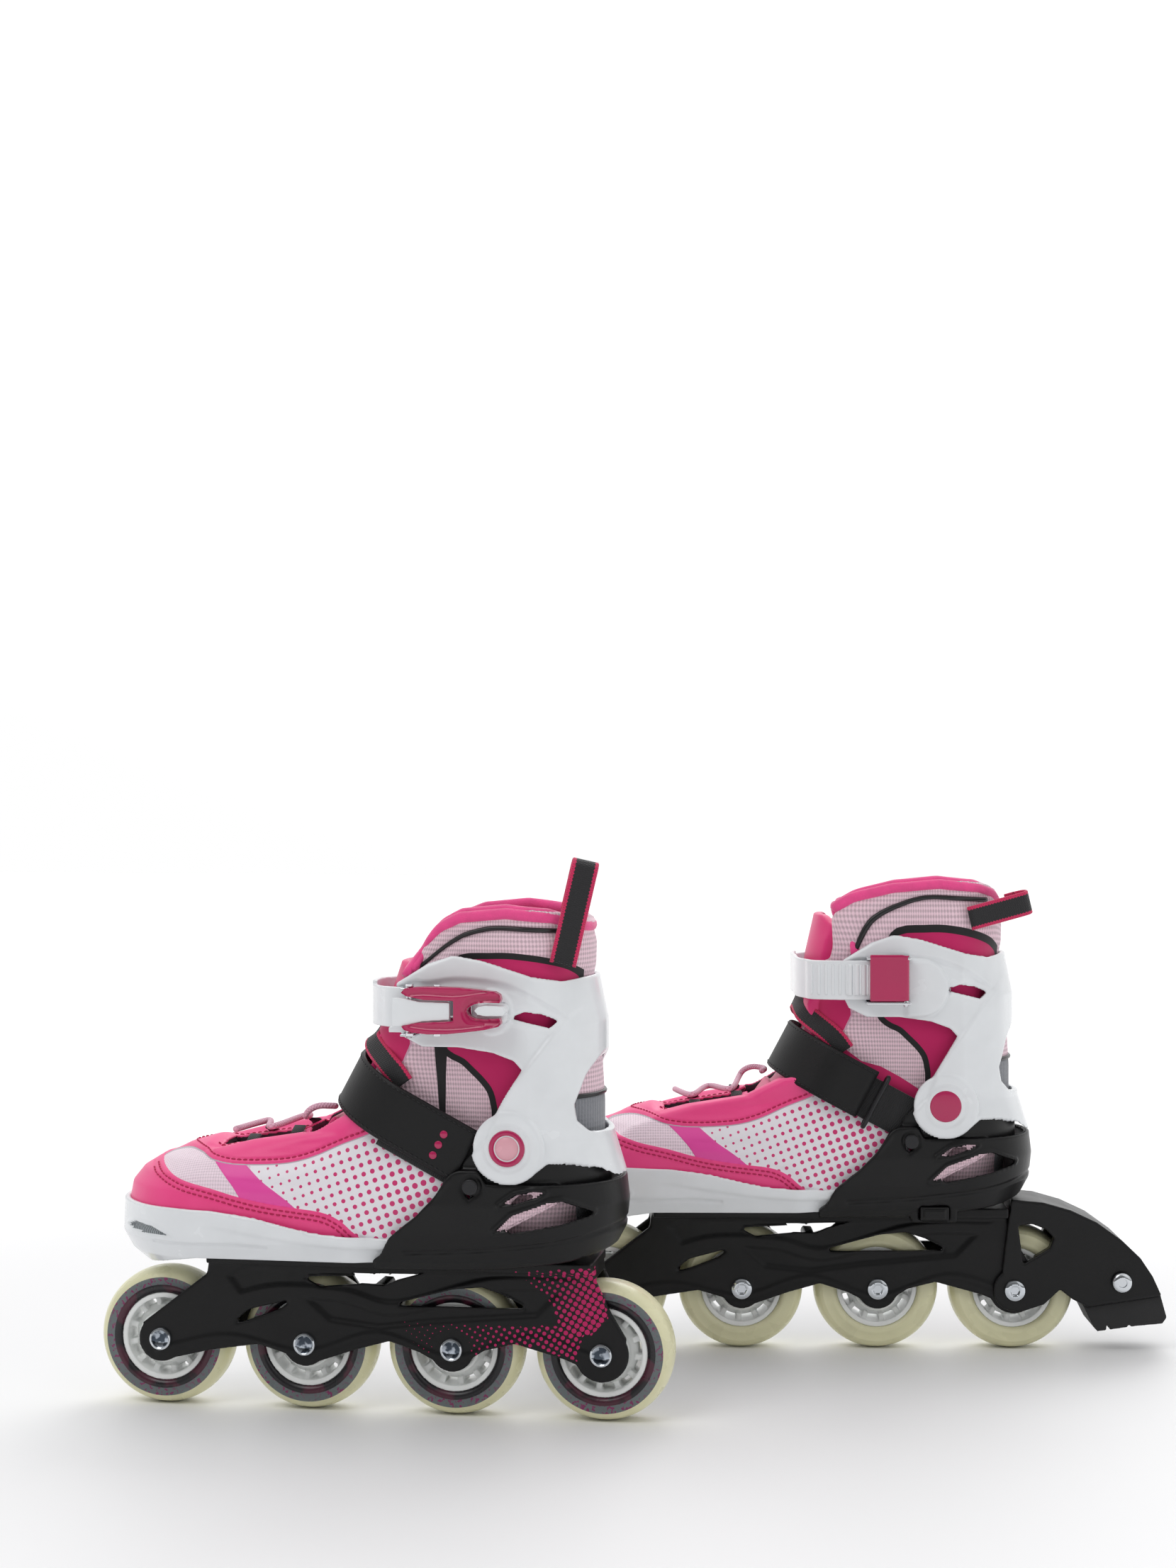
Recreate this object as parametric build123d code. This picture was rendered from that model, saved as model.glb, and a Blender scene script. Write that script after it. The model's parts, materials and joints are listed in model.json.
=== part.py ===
"""A pair of adjustable inline skates, built as separate pieces.

Each skate is modelled once in its own frame: toe towards -X, heel towards +X, floor at Z = 0,
middle of the wheelbase at X = 0. The left skate's outer side is -Y. The right skate is the
left one mirrored, with a heel brake added, standing beside and behind it at a small angle.
Millimetres throughout.
"""
import os
from math import cos, radians, sin

from build123d import *

# ---- driving dimensions -------------------------------------------------------------------
WHEEL_R = 36.0            # 72 mm wheels
WHEEL_HALF = 12.0         # half the wheel's width
PITCH = 78.0              # distance between neighbouring axles
HUB_R = 23.0              # hub rim, where the tyre sits
SEAT_R = 11.0             # 22 mm bearing seat
BEARING_BORE_R = 4.0
BEARING_LENGTH = 7.0
AXLE_R = 3.95
RAIL_IN = 13.0            # inner face of a frame rail
RAIL_OUT = 16.5           # outer face of a frame rail
CHANNEL_TOP = 74.0        # roof of the wheel channel
DECK_TOP = 83.4
FLOOR_LOW = 87.0          # underside of the shell's floor over the toe slider
FLOOR_TOP = 90.3
WALL = 3.0                # moulded plastic walls
UPPER_WALL = 2.6          # stitched upper
LINER_WALL = 5.5
PIVOT_X, PIVOT_Z = 74.0, 145.0
PIVOT_R = 4.5
STRAP_TILT = radians(28)  # the instep strap runs down towards the heel
STRAP_CREST = (-16.0, 174.0)
STRAP_HALF = 11.5
TOE_TRAVEL = 20.0         # the toe slides out by about three shoe sizes
BOLTS = [(-65, FLOOR_LOW), (64, FLOOR_TOP - 3), (98, FLOOR_TOP - 3)]   # x and height of the seat
BOLT_R = 3.0
RIVET_X, RIVET_Z, RIVET_R = 54, 119, 2.0
LACE_R = 1.4
LACE_REACH = 15.0         # from the mid-plane to the eyelets
LADDER_IN, LADDER_OUT = 45.7, 48.0      # faces of the toothed strap, from the mid-plane
LADDER_LOW, LADDER_HIGH = 205.0, 227.0
LADDER_TURN = 18.0        # where the strap turns round the shin
LADDER_CREST = -16.0
TOOTH_PITCH = 3.9
LEVER_PIN = (25.0, 51.0)  # x, and distance from the mid-plane
LEVER_SPAN = (202.6, 223.6)
TAB_PIN = (51.0, 52.4)
CLASP_SPAN = (202.6, 229.4)
PIN_R = 1.5
BRAKE_IN, BRAKE_OUT = 16.9, 20.0
BRAKE_BOLT = (178, 41)
RUNNING = 0.05            # radial clearance of pins and shafts
WIDE = 60.0               # half width of a cut that passes through the whole boot
RIGHT_PLACE = (206.5, 181.5)
RIGHT_YAW = 8.74
PAIR_CENTRE = (129.1, 95.0)   # brings the pair's footprint centre onto the origin

AXLES_X = [(i - 1.5) * PITCH for i in range(4)]


# ---- helpers ------------------------------------------------------------------------------
def prism(points, half):
    """Side outline in X and Z, extruded across Y from -half to half."""
    outline = make_face(Polyline(*[(x, -half, z) for x, z in points], close=True).edges())
    return extrude(outline, 2 * half, dir=(0, 1, 0))


def block(x, y, z):
    """Box from three (low, high) pairs."""
    size = [high - low for low, high in (x, y, z)]
    return Pos(*[(low + high) / 2 for low, high in (x, y, z)]) * Box(*size)


def rod(radius, x, z, y):
    """Cylinder along Y, from y[0] to y[1]."""
    return Pos(x, (y[0] + y[1]) / 2, z) * Rot(90, 0, 0) * Cylinder(radius, y[1] - y[0])


def post(radius, x, y, z):
    """Cylinder along Z, from z[0] to z[1]."""
    return Pos(x, y, (z[0] + z[1]) / 2) * Cylinder(radius, z[1] - z[0])


def both_sides(shape):
    return [shape, mirror(shape, about=Plane.XZ)]


def heel_section(z, front, front_half, turn, rear_half, rear):
    """Horizontal section, straight across the front and round at the heel."""
    curve = [
        Line((front, front_half, z), (front, -front_half, z)),
        Line((front, -front_half, z), (turn, -rear_half, z)),
        ThreePointArc((turn, -rear_half, z), (rear, 0, z), (turn, rear_half, z)),
        Line((turn, rear_half, z), (front, front_half, z)),
    ]
    return make_face(curve)


def toe_section(z, tip, shoulder, half, rear, rear_half, lean=3.0):
    """Horizontal section, round at the toe and straight across the rear."""
    cheek = tip + 0.27 * (shoulder - tip)
    toe = Spline(
        (shoulder, -half, z), (cheek, lean - 0.74 * half, z), (tip, lean, z),
        (cheek, lean + 0.74 * half, z), (shoulder, half, z),
        tangents=[(-1, 0, 0), (1, 0, 0)])
    curve = [
        Line((rear, -rear_half, z), (shoulder, -half, z)),
        toe,
        Line((shoulder, half, z), (rear, rear_half, z)),
        Line((rear, rear_half, z), (rear, -rear_half, z)),
    ]
    return make_face(curve)


def ankle_section(z, tip, half, turn, rear_half, rear):
    """Horizontal section of the ankle, round at the shin and at the heel."""
    shoulder = tip + 34
    curve = [
        Line((turn, -rear_half, z), (shoulder, -half, z)),
        Spline((shoulder, -half, z), (tip, 0, z), (shoulder, half, z),
               tangents=[(-1, 0, 0), (1, 0, 0)]),
        Line((shoulder, half, z), (turn, rear_half, z)),
        ThreePointArc((turn, rear_half, z), (rear, 0, z), (turn, -rear_half, z)),
    ]
    return make_face(curve)


def stack(section, levels):
    """Solid through horizontal sections."""
    return loft([section(*level) for level in levels], ruled=True)


# ---- wheels -------------------------------------------------------------------------------
def tyre():
    edge = 11.0
    outline = make_face([
        Line((HUB_R, -edge), (30.5, -WHEEL_HALF + 0.4)),
        ThreePointArc((30.5, -WHEEL_HALF + 0.4), (WHEEL_R, 0), (30.5, WHEEL_HALF - 0.4)),
        Line((30.5, WHEEL_HALF - 0.4), (HUB_R, edge)),
        Line((HUB_R, edge), (HUB_R, -edge)),
    ])
    return revolve(outline, Axis.Y)


def hub_and_bearings():
    """Spoked hub, with its two bearings as separate solids."""
    rim_half, spoke_half = 10.6, 6.0
    span = (-WHEEL_HALF, WHEEL_HALF)
    hub = rod(HUB_R, 0, 0, (-rim_half, rim_half)) - rod(20.4, 0, 0, (-rim_half, rim_half))
    for turn in range(6):
        spoke = block((12, 21), (-spoke_half, spoke_half), (-2.6, 2.6))
        hub += Rot(0, 60 * turn, 0) * spoke
    hub += rod(13.6, 0, 0, span)
    hub -= rod(8.5, 0, 0, span)
    seat = (WHEEL_HALF - BEARING_LENGTH, WHEEL_HALF)
    for cut in both_sides(rod(SEAT_R, 0, 0, seat)):
        hub -= cut
    bearing = rod(SEAT_R, 0, 0, seat) - rod(BEARING_BORE_R, 0, 0, seat)
    return [hub] + both_sides(bearing)


def axle(outer_face):
    """Sleeve, screw head and inner spacer of one wheel axle. Heads sit on outer_face."""
    sleeve = rod(AXLE_R, 0, 0, (-outer_face, outer_face))
    sleeve += rod(6.0, 0, 0, (-outer_face - 2.0, -outer_face))
    head = rod(5.6, 0, 0, (outer_face, outer_face + 2.4))
    socket = rod(2.3, 0, 0, (outer_face + 0.9, outer_face + 2.4))
    spacer_half = WHEEL_HALF - BEARING_LENGTH - 0.1
    spacer = rod(6.0, 0, 0, (-spacer_half, spacer_half))
    spacer -= rod(BEARING_BORE_R, 0, 0, (-spacer_half, spacer_half))
    return [sleeve + head - socket, spacer]


# ---- frame --------------------------------------------------------------------------------
def frame():
    side = [
        (-127, 44), (-92, 71), (-90, DECK_TOP), (113, DECK_TOP), (114, 74), (121, 59),
        (130, 44), (118, 25), (98, 33), (72, 40), (56, 36), (39, 25), (22, 34), (6, 39),
        (-12, 34), (-38, 25), (-50, 31), (-64, 35), (-90, 31), (-117, 24.5),
    ]
    rails = prism(side, RAIL_OUT)
    for x, radius in zip(AXLES_X, (12, 11.5, 11.5, 14)):
        rails += rod(radius, x, WHEEL_R, (-RAIL_OUT, RAIL_OUT))
    rails += block((-90, 113), (-24, 24), (78, DECK_TOP))
    rails -= block((-150, 150), (-RAIL_IN, RAIL_IN), (0, CHANNEL_TOP))
    windows = [
        [(-79, 45), (-69, 53), (-46, 59), (-52, 54), (-69, 47.5)],
        [(5, 57.5), (25, 63), (40, 67), (55, 68.5), (66, 65), (80, 58)],
        [(-41, 71), (2, 73), (-10, 68), (-31, 66)],
    ]
    for window in windows:
        rails -= prism(window, 40)
    for x in (-78, 0, 84):
        rails += rod(3.5, x, 65, (-RAIL_IN, RAIL_IN))
    for x in AXLES_X:
        for boss in both_sides(rod(6.5, x, WHEEL_R, (WHEEL_HALF + 0.25, RAIL_IN))):
            rails += boss
        rails -= rod(BEARING_BORE_R, x, WHEEL_R, (-40, 40))
    for x, _ in BOLTS:
        rails -= post(BOLT_R + RUNNING, x, 0, (70, 90))
    return rails


# ---- heel shell ---------------------------------------------------------------------------
SHELL_LEVELS = [
    (79.5, -14, 39.0, 84, 31.0, 110), (86, -14, 43.5, 84, 36.0, 120),
    (100, -14, 47.0, 84, 41.0, 127.5), (114, -14, 47.5, 84, 43.5, 129),
    (126.4, -14, 46.5, 84, 43.5, 127.5),
]
SHELL_INNER = [
    (FLOOR_TOP, -20, 42.2, 84, 35.5, 119), (100, -20, 44.0, 84, 38.0, 124.5),
    (114, -20, 44.5, 84, 40.5, 126), (126.5, -20, 43.5, 84, 40.5, 124.5),
]
SHELL_SIDE = [
    (-5, 80.5), (44, 80), (74, 82), (103, 86), (119, 90), (135, 96), (135, 126.4), (54, 126.4),
    (44, 126.4), (27, 109), (16, 100), (7, 93), (-5, 86),
]


def shell():
    """Heel shell: moulded cup on the deck, with ears for the cuff pivots."""
    cup = stack(heel_section, SHELL_LEVELS) - stack(heel_section, SHELL_INNER)
    cup &= prism(SHELL_SIDE, WIDE)
    cup -= block((-30, 58), (-60, 60), (70, FLOOR_LOW))
    skirt = stack(heel_section, SHELL_LEVELS[:2])
    skirt -= block((-30, 150), (-34, 34), (70, 90))
    cup += skirt & prism([(-5, 81), (44, 80.5), (58, 81), (58, 86), (-5, 86)], 60)
    cup -= block((-30, 135), (-24.3, 24.3), (70, DECK_TOP))
    ear = prism([(50, 120), (50, 130), (59, 140), (62, 157), (80, 157), (86, 148), (92, 139),
                 (118, 138), (123.6, 120)], 45)
    rim = stack(heel_section, [(z, -14, 41.8, 80, 41.5, 119.5) for z in (120, 160)])
    hollow = stack(heel_section, [(z, -20, 39.2, 80, 38.9, 117.0) for z in (119, 161)])
    cup += (rim & ear) - hollow
    for vent in ([(71, 102), (101, 118), (117, 111), (100, 106), (74, 101)],
                 [(71, 114), (80, 121), (89, 122), (85, 119)]):
        cup -= prism(vent, WIDE)
    housing = block((56, 82), (24.3, 36.0), (77.5, 88))
    pocket = block((60.6, 77.4), (27, 40), (78.8, 87.2))
    cup = cup + housing - pocket
    cup -= rod(PIVOT_R + RUNNING, PIVOT_X, PIVOT_Z, (-50, 50))
    for x, seat in BOLTS[1:]:
        cup -= post(BOLT_R + RUNNING, x, 0, (70, 95))
        cup -= post(6.2, x, 0, (seat, FLOOR_TOP + 1))
    cup -= rod(RIVET_R + RUNNING, RIVET_X, RIVET_Z, (-WIDE, WIDE))
    return cup


def size_button():
    """Spring-loaded button that locks the toe slider."""
    return block((61, 77), (31, 38.5), (79.2, 86.8)) + block((63, 75), (38.5, 39.5), (80.5, 85.5))


def bolts():
    """Bolts that hold the boot on the frame, and a rivet in each side of the shell."""
    pieces = []
    for x, seat in BOLTS:
        stem = post(BOLT_R, x, 0, (CHANNEL_TOP + 1, seat))
        pieces.append(stem + post(6.0, x, 0, (seat, seat + 2.8)))
    rivet = rod(4.0, RIVET_X, RIVET_Z, (-46.6, -44.9))
    rivet += rod(RIVET_R, RIVET_X, RIVET_Z, (-44.9, -41.6))
    return pieces + both_sides(rivet)


# ---- toe: sliding base and stitched upper ----------------------------------------------------
TOE_LEVELS = [
    (76, -127, -82, 34.5, -6, 38), (84, -136, -86, 41.5, -6, 41), (93, -140.5, -88, 46, -6, 43.8),
    (111, -139.5, -88, 47.2, -6, 44.6),
]
TOE_SIDE = [
    (-150, 82), (-131, 77), (-122, 77.2), (-104, 81.5), (-90, 83.8), (-6, 83.8), (-6, 96),
    (-29, 99), (-43, 102), (-58, 105.5), (-81, 109), (-104, 110), (-150, 110.5),
]
UPPER_LEVELS = [
    (87.2, -131.0, -84, 38.3, 60, 35.6), (96, -135.4, -87, 41.9, 60, 36.2),
    (110, -136.0, -87, 43.2, 60, 36.6), (118, -134.6, -84, 42.5, 60, 36.8),
    (125, -129.0, -78, 40.4, 60, 36.8), (132, -117.5, -66, 36.5, 60, 36.8),
    (138, -102.0, -50, 33.5, 60, 36.8), (143, -84.0, -32, 32.0, 60, 36.8),
    (148, -50.0, -8, 32.0, 60, 36.8), (160, -24.0, 14, 34.2, 60, 36.7),
]


def inset(levels, wall):
    """The same levels moved inwards by a wall, and run out past the rear."""
    return [(z, tip + wall, shoulder, half - wall, rear + 20, rear_half - wall)
            for z, tip, shoulder, half, rear, rear_half in levels]


def toe_base():
    """White tray under the toe, with the flat slider that runs under the shell's floor."""
    tray = stack(toe_section, TOE_LEVELS)
    _, bottom, *walls = inset(TOE_LEVELS, WALL)
    tray -= stack(toe_section, [(FLOOR_LOW - 0.1, *bottom[1:]), *walls])
    tray &= prism(TOE_SIDE, WIDE)
    tray += block((-8, 46), (-28, 28), (84.0, 86.6))
    slot_half = BOLT_R + 0.2
    front_bolt = BOLTS[0][0]
    tray -= block((front_bolt - slot_half, front_bolt + slot_half + TOE_TRAVEL),
                  (-slot_half, slot_half), (70, 95))
    return tray


def upper():
    """Stitched upper over the forefoot, open along the throat and at the rear."""
    skin = stack(toe_section, UPPER_LEVELS)
    inner = lower_roof(inset(UPPER_LEVELS, UPPER_WALL))
    inner = [(86,) + inner[0][1:]] + inner[1:-1] + [(161,) + inner[-1][1:]]
    skin -= stack(toe_section, inner)
    skin -= block((-84, 70), (-13, 13), (125, 170))
    skin -= block((-36, 70), (-27, 27), (130, 170))
    strap_side = [(-24, 157), (-8, 159), (4, 157), (18, 148), (34, 139), (46, 131), (56, 121),
                  (80, 118), (80, 175), (-24, 175)]
    skin -= prism(strap_side, WIDE)
    skin -= block((-5, 70), (-60, 60), (80, 91))
    return skin


def lower_roof(levels):
    """Inner levels of a domed roof, dropped so that the roof keeps its thickness."""
    dropped = []
    for z, *rest in levels:
        fall = 0.0 if z < 115 else UPPER_WALL * min((z - 115) / 15, 1.0)
        dropped.append((z - fall, *rest))
    return dropped


# ---- soft inner boot --------------------------------------------------------------------------
LINER_LEVELS = [
    (90.8, -38, 31.0, 80, 31.0, 110), (120, -38, 32.6, 80, 33.6, 115),
    (136, -34, 31.0, 80, 35.0, 115.6), (148, -24.5, 28.5, 80, 35.6, 116),
    (164, -12.2, 31.4, 80, 36.2, 116), (186, -1.2, 35.4, 80, 38.2, 114.6),
    (228, 4, 38.0, 80, 38.8, 109.6), (263, 12, 35.0, 80, 36.0, 110.6),
]
COLLAR = [(-60, 226), (11, 226), (14, 236), (19, 245), (27, 253), (46, 261), (72, 264), (95, 262),
          (112, 256), (140, 254), (140, 300), (-60, 300)]


def liner():
    """Padded ankle boot inside the shell and the cuff."""
    boot = stack(ankle_section, LINER_LEVELS)
    hollow = []
    for z, tip, half, turn, rear_half, rear in LINER_LEVELS:
        wall = LINER_WALL if z > 100 else 3.4
        front = tip + wall if z > 140 else -80
        hollow.append((max(z, 93.4), front, half - wall, turn, rear_half - wall, rear - wall))
    hollow.append((270,) + hollow[-1][1:])
    boot -= stack(ankle_section, hollow)
    return boot - prism(COLLAR, WIDE)


def tongue():
    """Padded tongue: a strip under the laces that turns up in front of the shin."""
    gap, wall = 0.5, 5.0
    levels = [level for level in LINER_LEVELS if level[0] > 140]
    front = stack(ankle_section, [(z, tip - gap - wall, half + gap + wall, turn, rear_half, rear)
                                  for z, tip, half, turn, rear_half, rear in levels])
    front -= stack(ankle_section, [(z, tip - gap, half + gap, turn, rear_half, rear)
                                   for z, tip, half, turn, rear_half, rear in levels])
    front &= prism([(-40, 150), (0, 150), (4, 190), (12, 226), (13, 251), (-40, 251)], 60)
    front &= block((-40, 20), (-26, 26), (140, 260))
    strip = prism([(-80, 135), (-60, 138), (-44, 140.5), (-36, 145), (-28.5, 155), (-25.5, 152),
                   (-29, 146), (-40, 137.5), (-60, 134), (-80, 131)], 17)
    return front + strip


def insole():
    """Flat footbed inside the liner, running forward under the toes."""
    low, high, waist, half = 94.0, 97.5, -40, 27.0
    bed = stack(toe_section, [(z, -116, -80, 33, waist, half) for z in (low, high)])
    heel = stack(heel_section, [(z, waist, half, 84, 22.5, 102) for z in (low, high)])
    return bed + heel


# ---- laces ------------------------------------------------------------------------------------
LACE_ROWS = [(-79, 146.4), (-68, 147.4), (-57, 148.6), (-46, 150.8), (-37, 154.0)]
LACE_LOOP = [(-37, -15.6, 157.8), (-31.8, -15, 160.2), (-26.2, -12.8, 159.8), (-23.6, -8.6, 159.2),
             (-26.6, -4.6, 158.6)]


def lace():
    """One cord zigzagging over the tongue between the two edges of the throat, then looping back."""
    points = []
    for index, (x, z) in enumerate(LACE_ROWS):
        side = LACE_REACH if index % 2 else -LACE_REACH
        points.append((x - 2.4, side, z - 0.3))
        points.append((x + 2.4, side, z + 0.3))
    path = FilletPolyline(*points[1:-1], *LACE_LOOP, radius=1.8)
    start = Plane(origin=path @ 0, z_dir=path % 0)
    return sweep(start * Circle(LACE_R), path=path)


# ---- instep strap -----------------------------------------------------------------------------
def strap_frame():
    """Plane whose X runs down the strap towards the heel, whose Y is across the foot."""
    down = (cos(STRAP_TILT), 0, -sin(STRAP_TILT))
    across = (sin(STRAP_TILT), 0, cos(STRAP_TILT))
    return Plane(origin=(STRAP_CREST[0], 0, STRAP_CREST[1]), x_dir=down, z_dir=across)


def strap_loop(crest, half, end, width):
    """Solid U in the strap's own plane: round over the instep, straight down both sides."""
    outline = make_face([
        Spline((34, -half, -width), (crest, 0, -width), (34, half, -width),
               tangents=[(-1, 0, 0), (1, 0, 0)]),
        Line((34, half, -width), (end, half, -width)),
        Line((end, half, -width), (end, -half, -width)),
        Line((end, -half, -width), (34, -half, -width)),
    ])
    return extrude(outline, 2 * width, dir=(0, 0, 1))


def instep_strap():
    """Hook-and-loop strap over the instep; its loose end lies on the outer side."""
    thickness, reach, outer_end, inner_end = 2.0, 41.2, 75.0, 54.0
    band = strap_loop(0, reach, outer_end, STRAP_HALF)
    band -= strap_loop(thickness, reach - thickness, outer_end + 5, STRAP_HALF + 1)
    band -= block((inner_end, outer_end + 1), (10, 60), (-20, 20))
    return strap_frame().location * band


def strap_anchor():
    """Webbing that ties the strap to the shell on both sides, and the ring on the inner side."""
    plane = strap_frame()
    pieces = [plane.location * (Pos(61, side * 38.0, 0) * Box(38, 1.3, 2 * STRAP_HALF - 3))
              for side in (-1, 1)]
    ring = Pos(57.5, 41.0, 0) * (Box(5, 5, 29) - Box(8, 2.6, 24.5))
    return pieces + [plane.location * ring]


# ---- cuff -------------------------------------------------------------------------------------
CUFF_LEVELS = [
    (124, 0, 46.0, 84, 46.0, 128.5), (148, 0, 46.0, 84, 45.6, 121), (190, 0, 44.6, 84, 44.4, 118),
    (206, 0, 44.0, 84, 43.8, 118), (242, 0, 43.2, 84, 42.4, 110.5),
]
CUFF_WALL = [3.4, 3.2, 3.0, 3.0, 3.0]
CUFF_SIDE = [
    (17, 206), (20, 200), (30, 195), (48, 195), (66, 192.5), (77, 188.5), (81, 184), (75, 174),
    (66, 159), (57, 148), (60, 134), (88, 134), (93, 138), (104, 137.5), (117, 134), (125, 128),
    (140, 127), (140, 230), (111, 229.5), (98, 227.5), (85, 230), (60, 238), (46, 240.5),
    (33, 236), (17, 226),
]
CUFF_BACK_WINDOW = [(140, 192), (118, 191.5), (110, 180), (104.5, 166), (106, 157), (112, 151.5),
                    (140, 147)]
CUFF_SLOT = [(73, 210), (82, 213.5), (91, 212), (98.5, 208.5), (94, 204.5), (87, 206.5)]


def cuff():
    """Ankle cuff: a moulded band round the heel with two legs down to the pivots."""
    band = stack(heel_section, CUFF_LEVELS)
    hollow = []
    for (z, front, half, turn, rear_half, rear), wall in zip(CUFF_LEVELS, CUFF_WALL):
        hollow.append((z, front - 10, half - wall, turn, rear_half - wall, rear - wall))
    hollow[0] = (123,) + hollow[0][1:]
    hollow[-1] = (243,) + hollow[-1][1:]
    band -= stack(heel_section, hollow)
    lobes = rod(17.5, PIVOT_X, PIVOT_Z, (-46, 46)) - rod(20, PIVOT_X, PIVOT_Z, (-42.6, 42.6))
    band &= prism(CUFF_SIDE, WIDE)
    band += lobes
    band -= prism(CUFF_BACK_WINDOW, WIDE)
    band -= prism(CUFF_SLOT, WIDE)
    boss = block((59, 73), (-48.6, -42), (209.4, 216.6))
    band += boss
    band -= rod(PIVOT_R + RUNNING, PIVOT_X, PIVOT_Z, (-50, 50))
    return band


def cuff_pivots():
    """Pivot pins through the cuff's legs and the shell's ears, with round caps."""
    pin = rod(PIVOT_R, PIVOT_X, PIVOT_Z, (-46.2, -37.4)) + rod(9.2, PIVOT_X, PIVOT_Z, (-48.4, -46.2))
    pin += rod(6.5, PIVOT_X, PIVOT_Z, (-38.8, -37.4))
    return both_sides(pin)


# ---- ratchet strap, lever and clasp ------------------------------------------------------------
def half_ring(crest, half, end, low, high):
    """Solid U in plan: round at the shin, straight along both sides of the ankle."""
    outline = make_face([
        Spline((LADDER_TURN, -half, low), (crest, 0, low), (LADDER_TURN, half, low),
               tangents=[(-1, 0, 0), (1, 0, 0)]),
        Line((LADDER_TURN, half, low), (end, half, low)),
        Line((end, half, low), (end, -half, low)),
        Line((end, -half, low), (LADDER_TURN, -half, low)),
    ])
    return extrude(outline, high - low, dir=(0, 0, 1))


def ladder_strap():
    """Toothed strap round the shin, with a narrow tongue that enters the lever."""
    band = half_ring(LADDER_CREST, LADDER_OUT, 70, LADDER_LOW, LADDER_HIGH)
    band -= half_ring(LADDER_CREST + 2.3, LADDER_IN, 90, LADDER_LOW - 5, LADDER_HIGH + 5)
    band -= block((44, 90), (-60, 0), (190, 240))
    band -= block((19.5, 90), (-60, 0), (190, 207.6))
    band -= block((19.5, 90), (-60, 0), (219.2, 240))
    band -= block((-40, 19.5), (-60, -30), (225.2, 240))
    band += block((7, 19.5), (-LADDER_OUT, -LADDER_IN), (202.4, LADDER_LOW))
    for step in range(13):
        x = 19.0 + TOOTH_PITCH * step
        band += block((x, x + 2.0), (LADDER_OUT - 0.4, LADDER_OUT + 1.1), (207.5, 224.5))
    return band


def buckle_base():
    """Metal plate riveted to the cuff's outer side, with ears for the lever's pin."""
    plate = block((21, 56), (-45.2, -44.2), (204, 223))
    low, high = LEVER_SPAN
    for near, far in ((low - 1.7, low - 0.4), (high + 0.4, high + 1.7)):
        plate += block((21, 30), (-45.2, -44.2), (min(near, 204), max(far, 223)))
        plate += block((21, 29), (-54.5, -44.2), (near, far))
    pin = post(PIN_R, LEVER_PIN[0], -LEVER_PIN[1], (low - 2.6, high + 2.6))
    return [plate - post(PIN_R, LEVER_PIN[0], -LEVER_PIN[1], (190, 240)), pin]


def lever():
    """Over-centre lever with a window that shows the strap's tongue."""
    low, high = LEVER_SPAN
    x, reach = LEVER_PIN
    arm = block((x, 72), (-54, -46.2), (low, high))
    for z in ((low, low + 4.4), (high - 4.2, high)):
        arm += post(4.8, x, -reach, z)
    arm -= block((x - 10, 47), (-60, -40), (low + 4.4, high - 4.2))
    arm -= block((20, 66), (-49.8, -40), (low + 4.4, high - 4.2))
    arm -= block((57.5, 80), (-60, -40), (208.4, 217.6))
    arm -= block((66, 80), (-49.0, -40), (200, 230))
    arm += block((47, 57), (-54, -49.8), (low + 4, high - 4))
    arm -= post(PIN_R + RUNNING, x, -reach, (190, 240))
    strap_pin = post(1.3, x + 13, -reach + 0.4, (low + 1, high - 1))
    return arm + strap_pin


def clasp_base():
    """Metal channel on the inner side that the toothed strap runs through."""
    low, high = CLASP_SPAN
    thick = 1.6
    plate = block((29, 54), (44.2, 45.3), (low, high))
    for z in ((low, low + thick), (high - thick, high)):
        plate += block((29, 54), (44.2, 54.0), z)
    pin = post(1.4, *TAB_PIN, (low - 1, high + 1))
    return [plate - post(1.4, *TAB_PIN, (195, 235)), pin]


def clasp_tab():
    """Push tab with the tooth that catches the strap."""
    span = (204.8, 227.2)
    tab = block((31, TAB_PIN[0]), (51.0, 54.2), span) + post(1.9, *TAB_PIN, span)
    tab += block((31.5, 33.5), (49.8, 51.4), (208, 224))
    return tab - post(1.4 + RUNNING, *TAB_PIN, (190, 240))


# ---- pull loop ----------------------------------------------------------------------------------
def pull_loop(side, base, lean, turn, length):
    """Webbing loop sewn to the collar, leaning back from upright and turned to follow the heel."""
    gap, thick, short, half_width = 8.0, 1.6, 27.0, 7.0
    outline = [(0, 0), (0, -thick), (length, -thick), (length, gap + thick), (short, gap + thick),
               (short, gap), (length - thick, gap), (length - thick, 0)]
    face = make_face(Polyline(*[(0, y, z) for z, y in outline], close=True).edges())
    band = extrude(face, half_width, both=True, dir=(1, 0, 0))
    if side > 0:
        band = mirror(band, about=Plane.XZ)
    return Pos(*base) * Rot(0, 0, -side * turn) * Rot(0, lean, 0) * band


# ---- heel brake, on the right skate only ----------------------------------------------------------
BRAKE_SIDE = [(108, 30), (115, 88), (133, 86.5), (149, 82), (164, 75), (178, 65), (189, 54.5),
              (196, 44), (201, 33), (159, 26.5), (150, 31), (143, 36.5), (134, 28), (119, 23)]
BRAKE_WINDOW = [(122, 51), (137, 60), (139.5, 66), (135, 71), (127, 74), (119, 73)]
PAD_SIDE = [(156, 28.0), (159, 26.1), (201, 32.6), (204.5, 20), (202, 16.5), (186, 15), (165, 12),
            (163, 14)]
CLAMP_INSIDE = [(100, 10), (134, 10), (134, 47), (123, 62), (116, 76), (114.6, 95), (100, 95)]
CLAMP_REAR = [(108, 10), (152, 10), (148, 36), (134, 47), (108, 47)]


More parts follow.
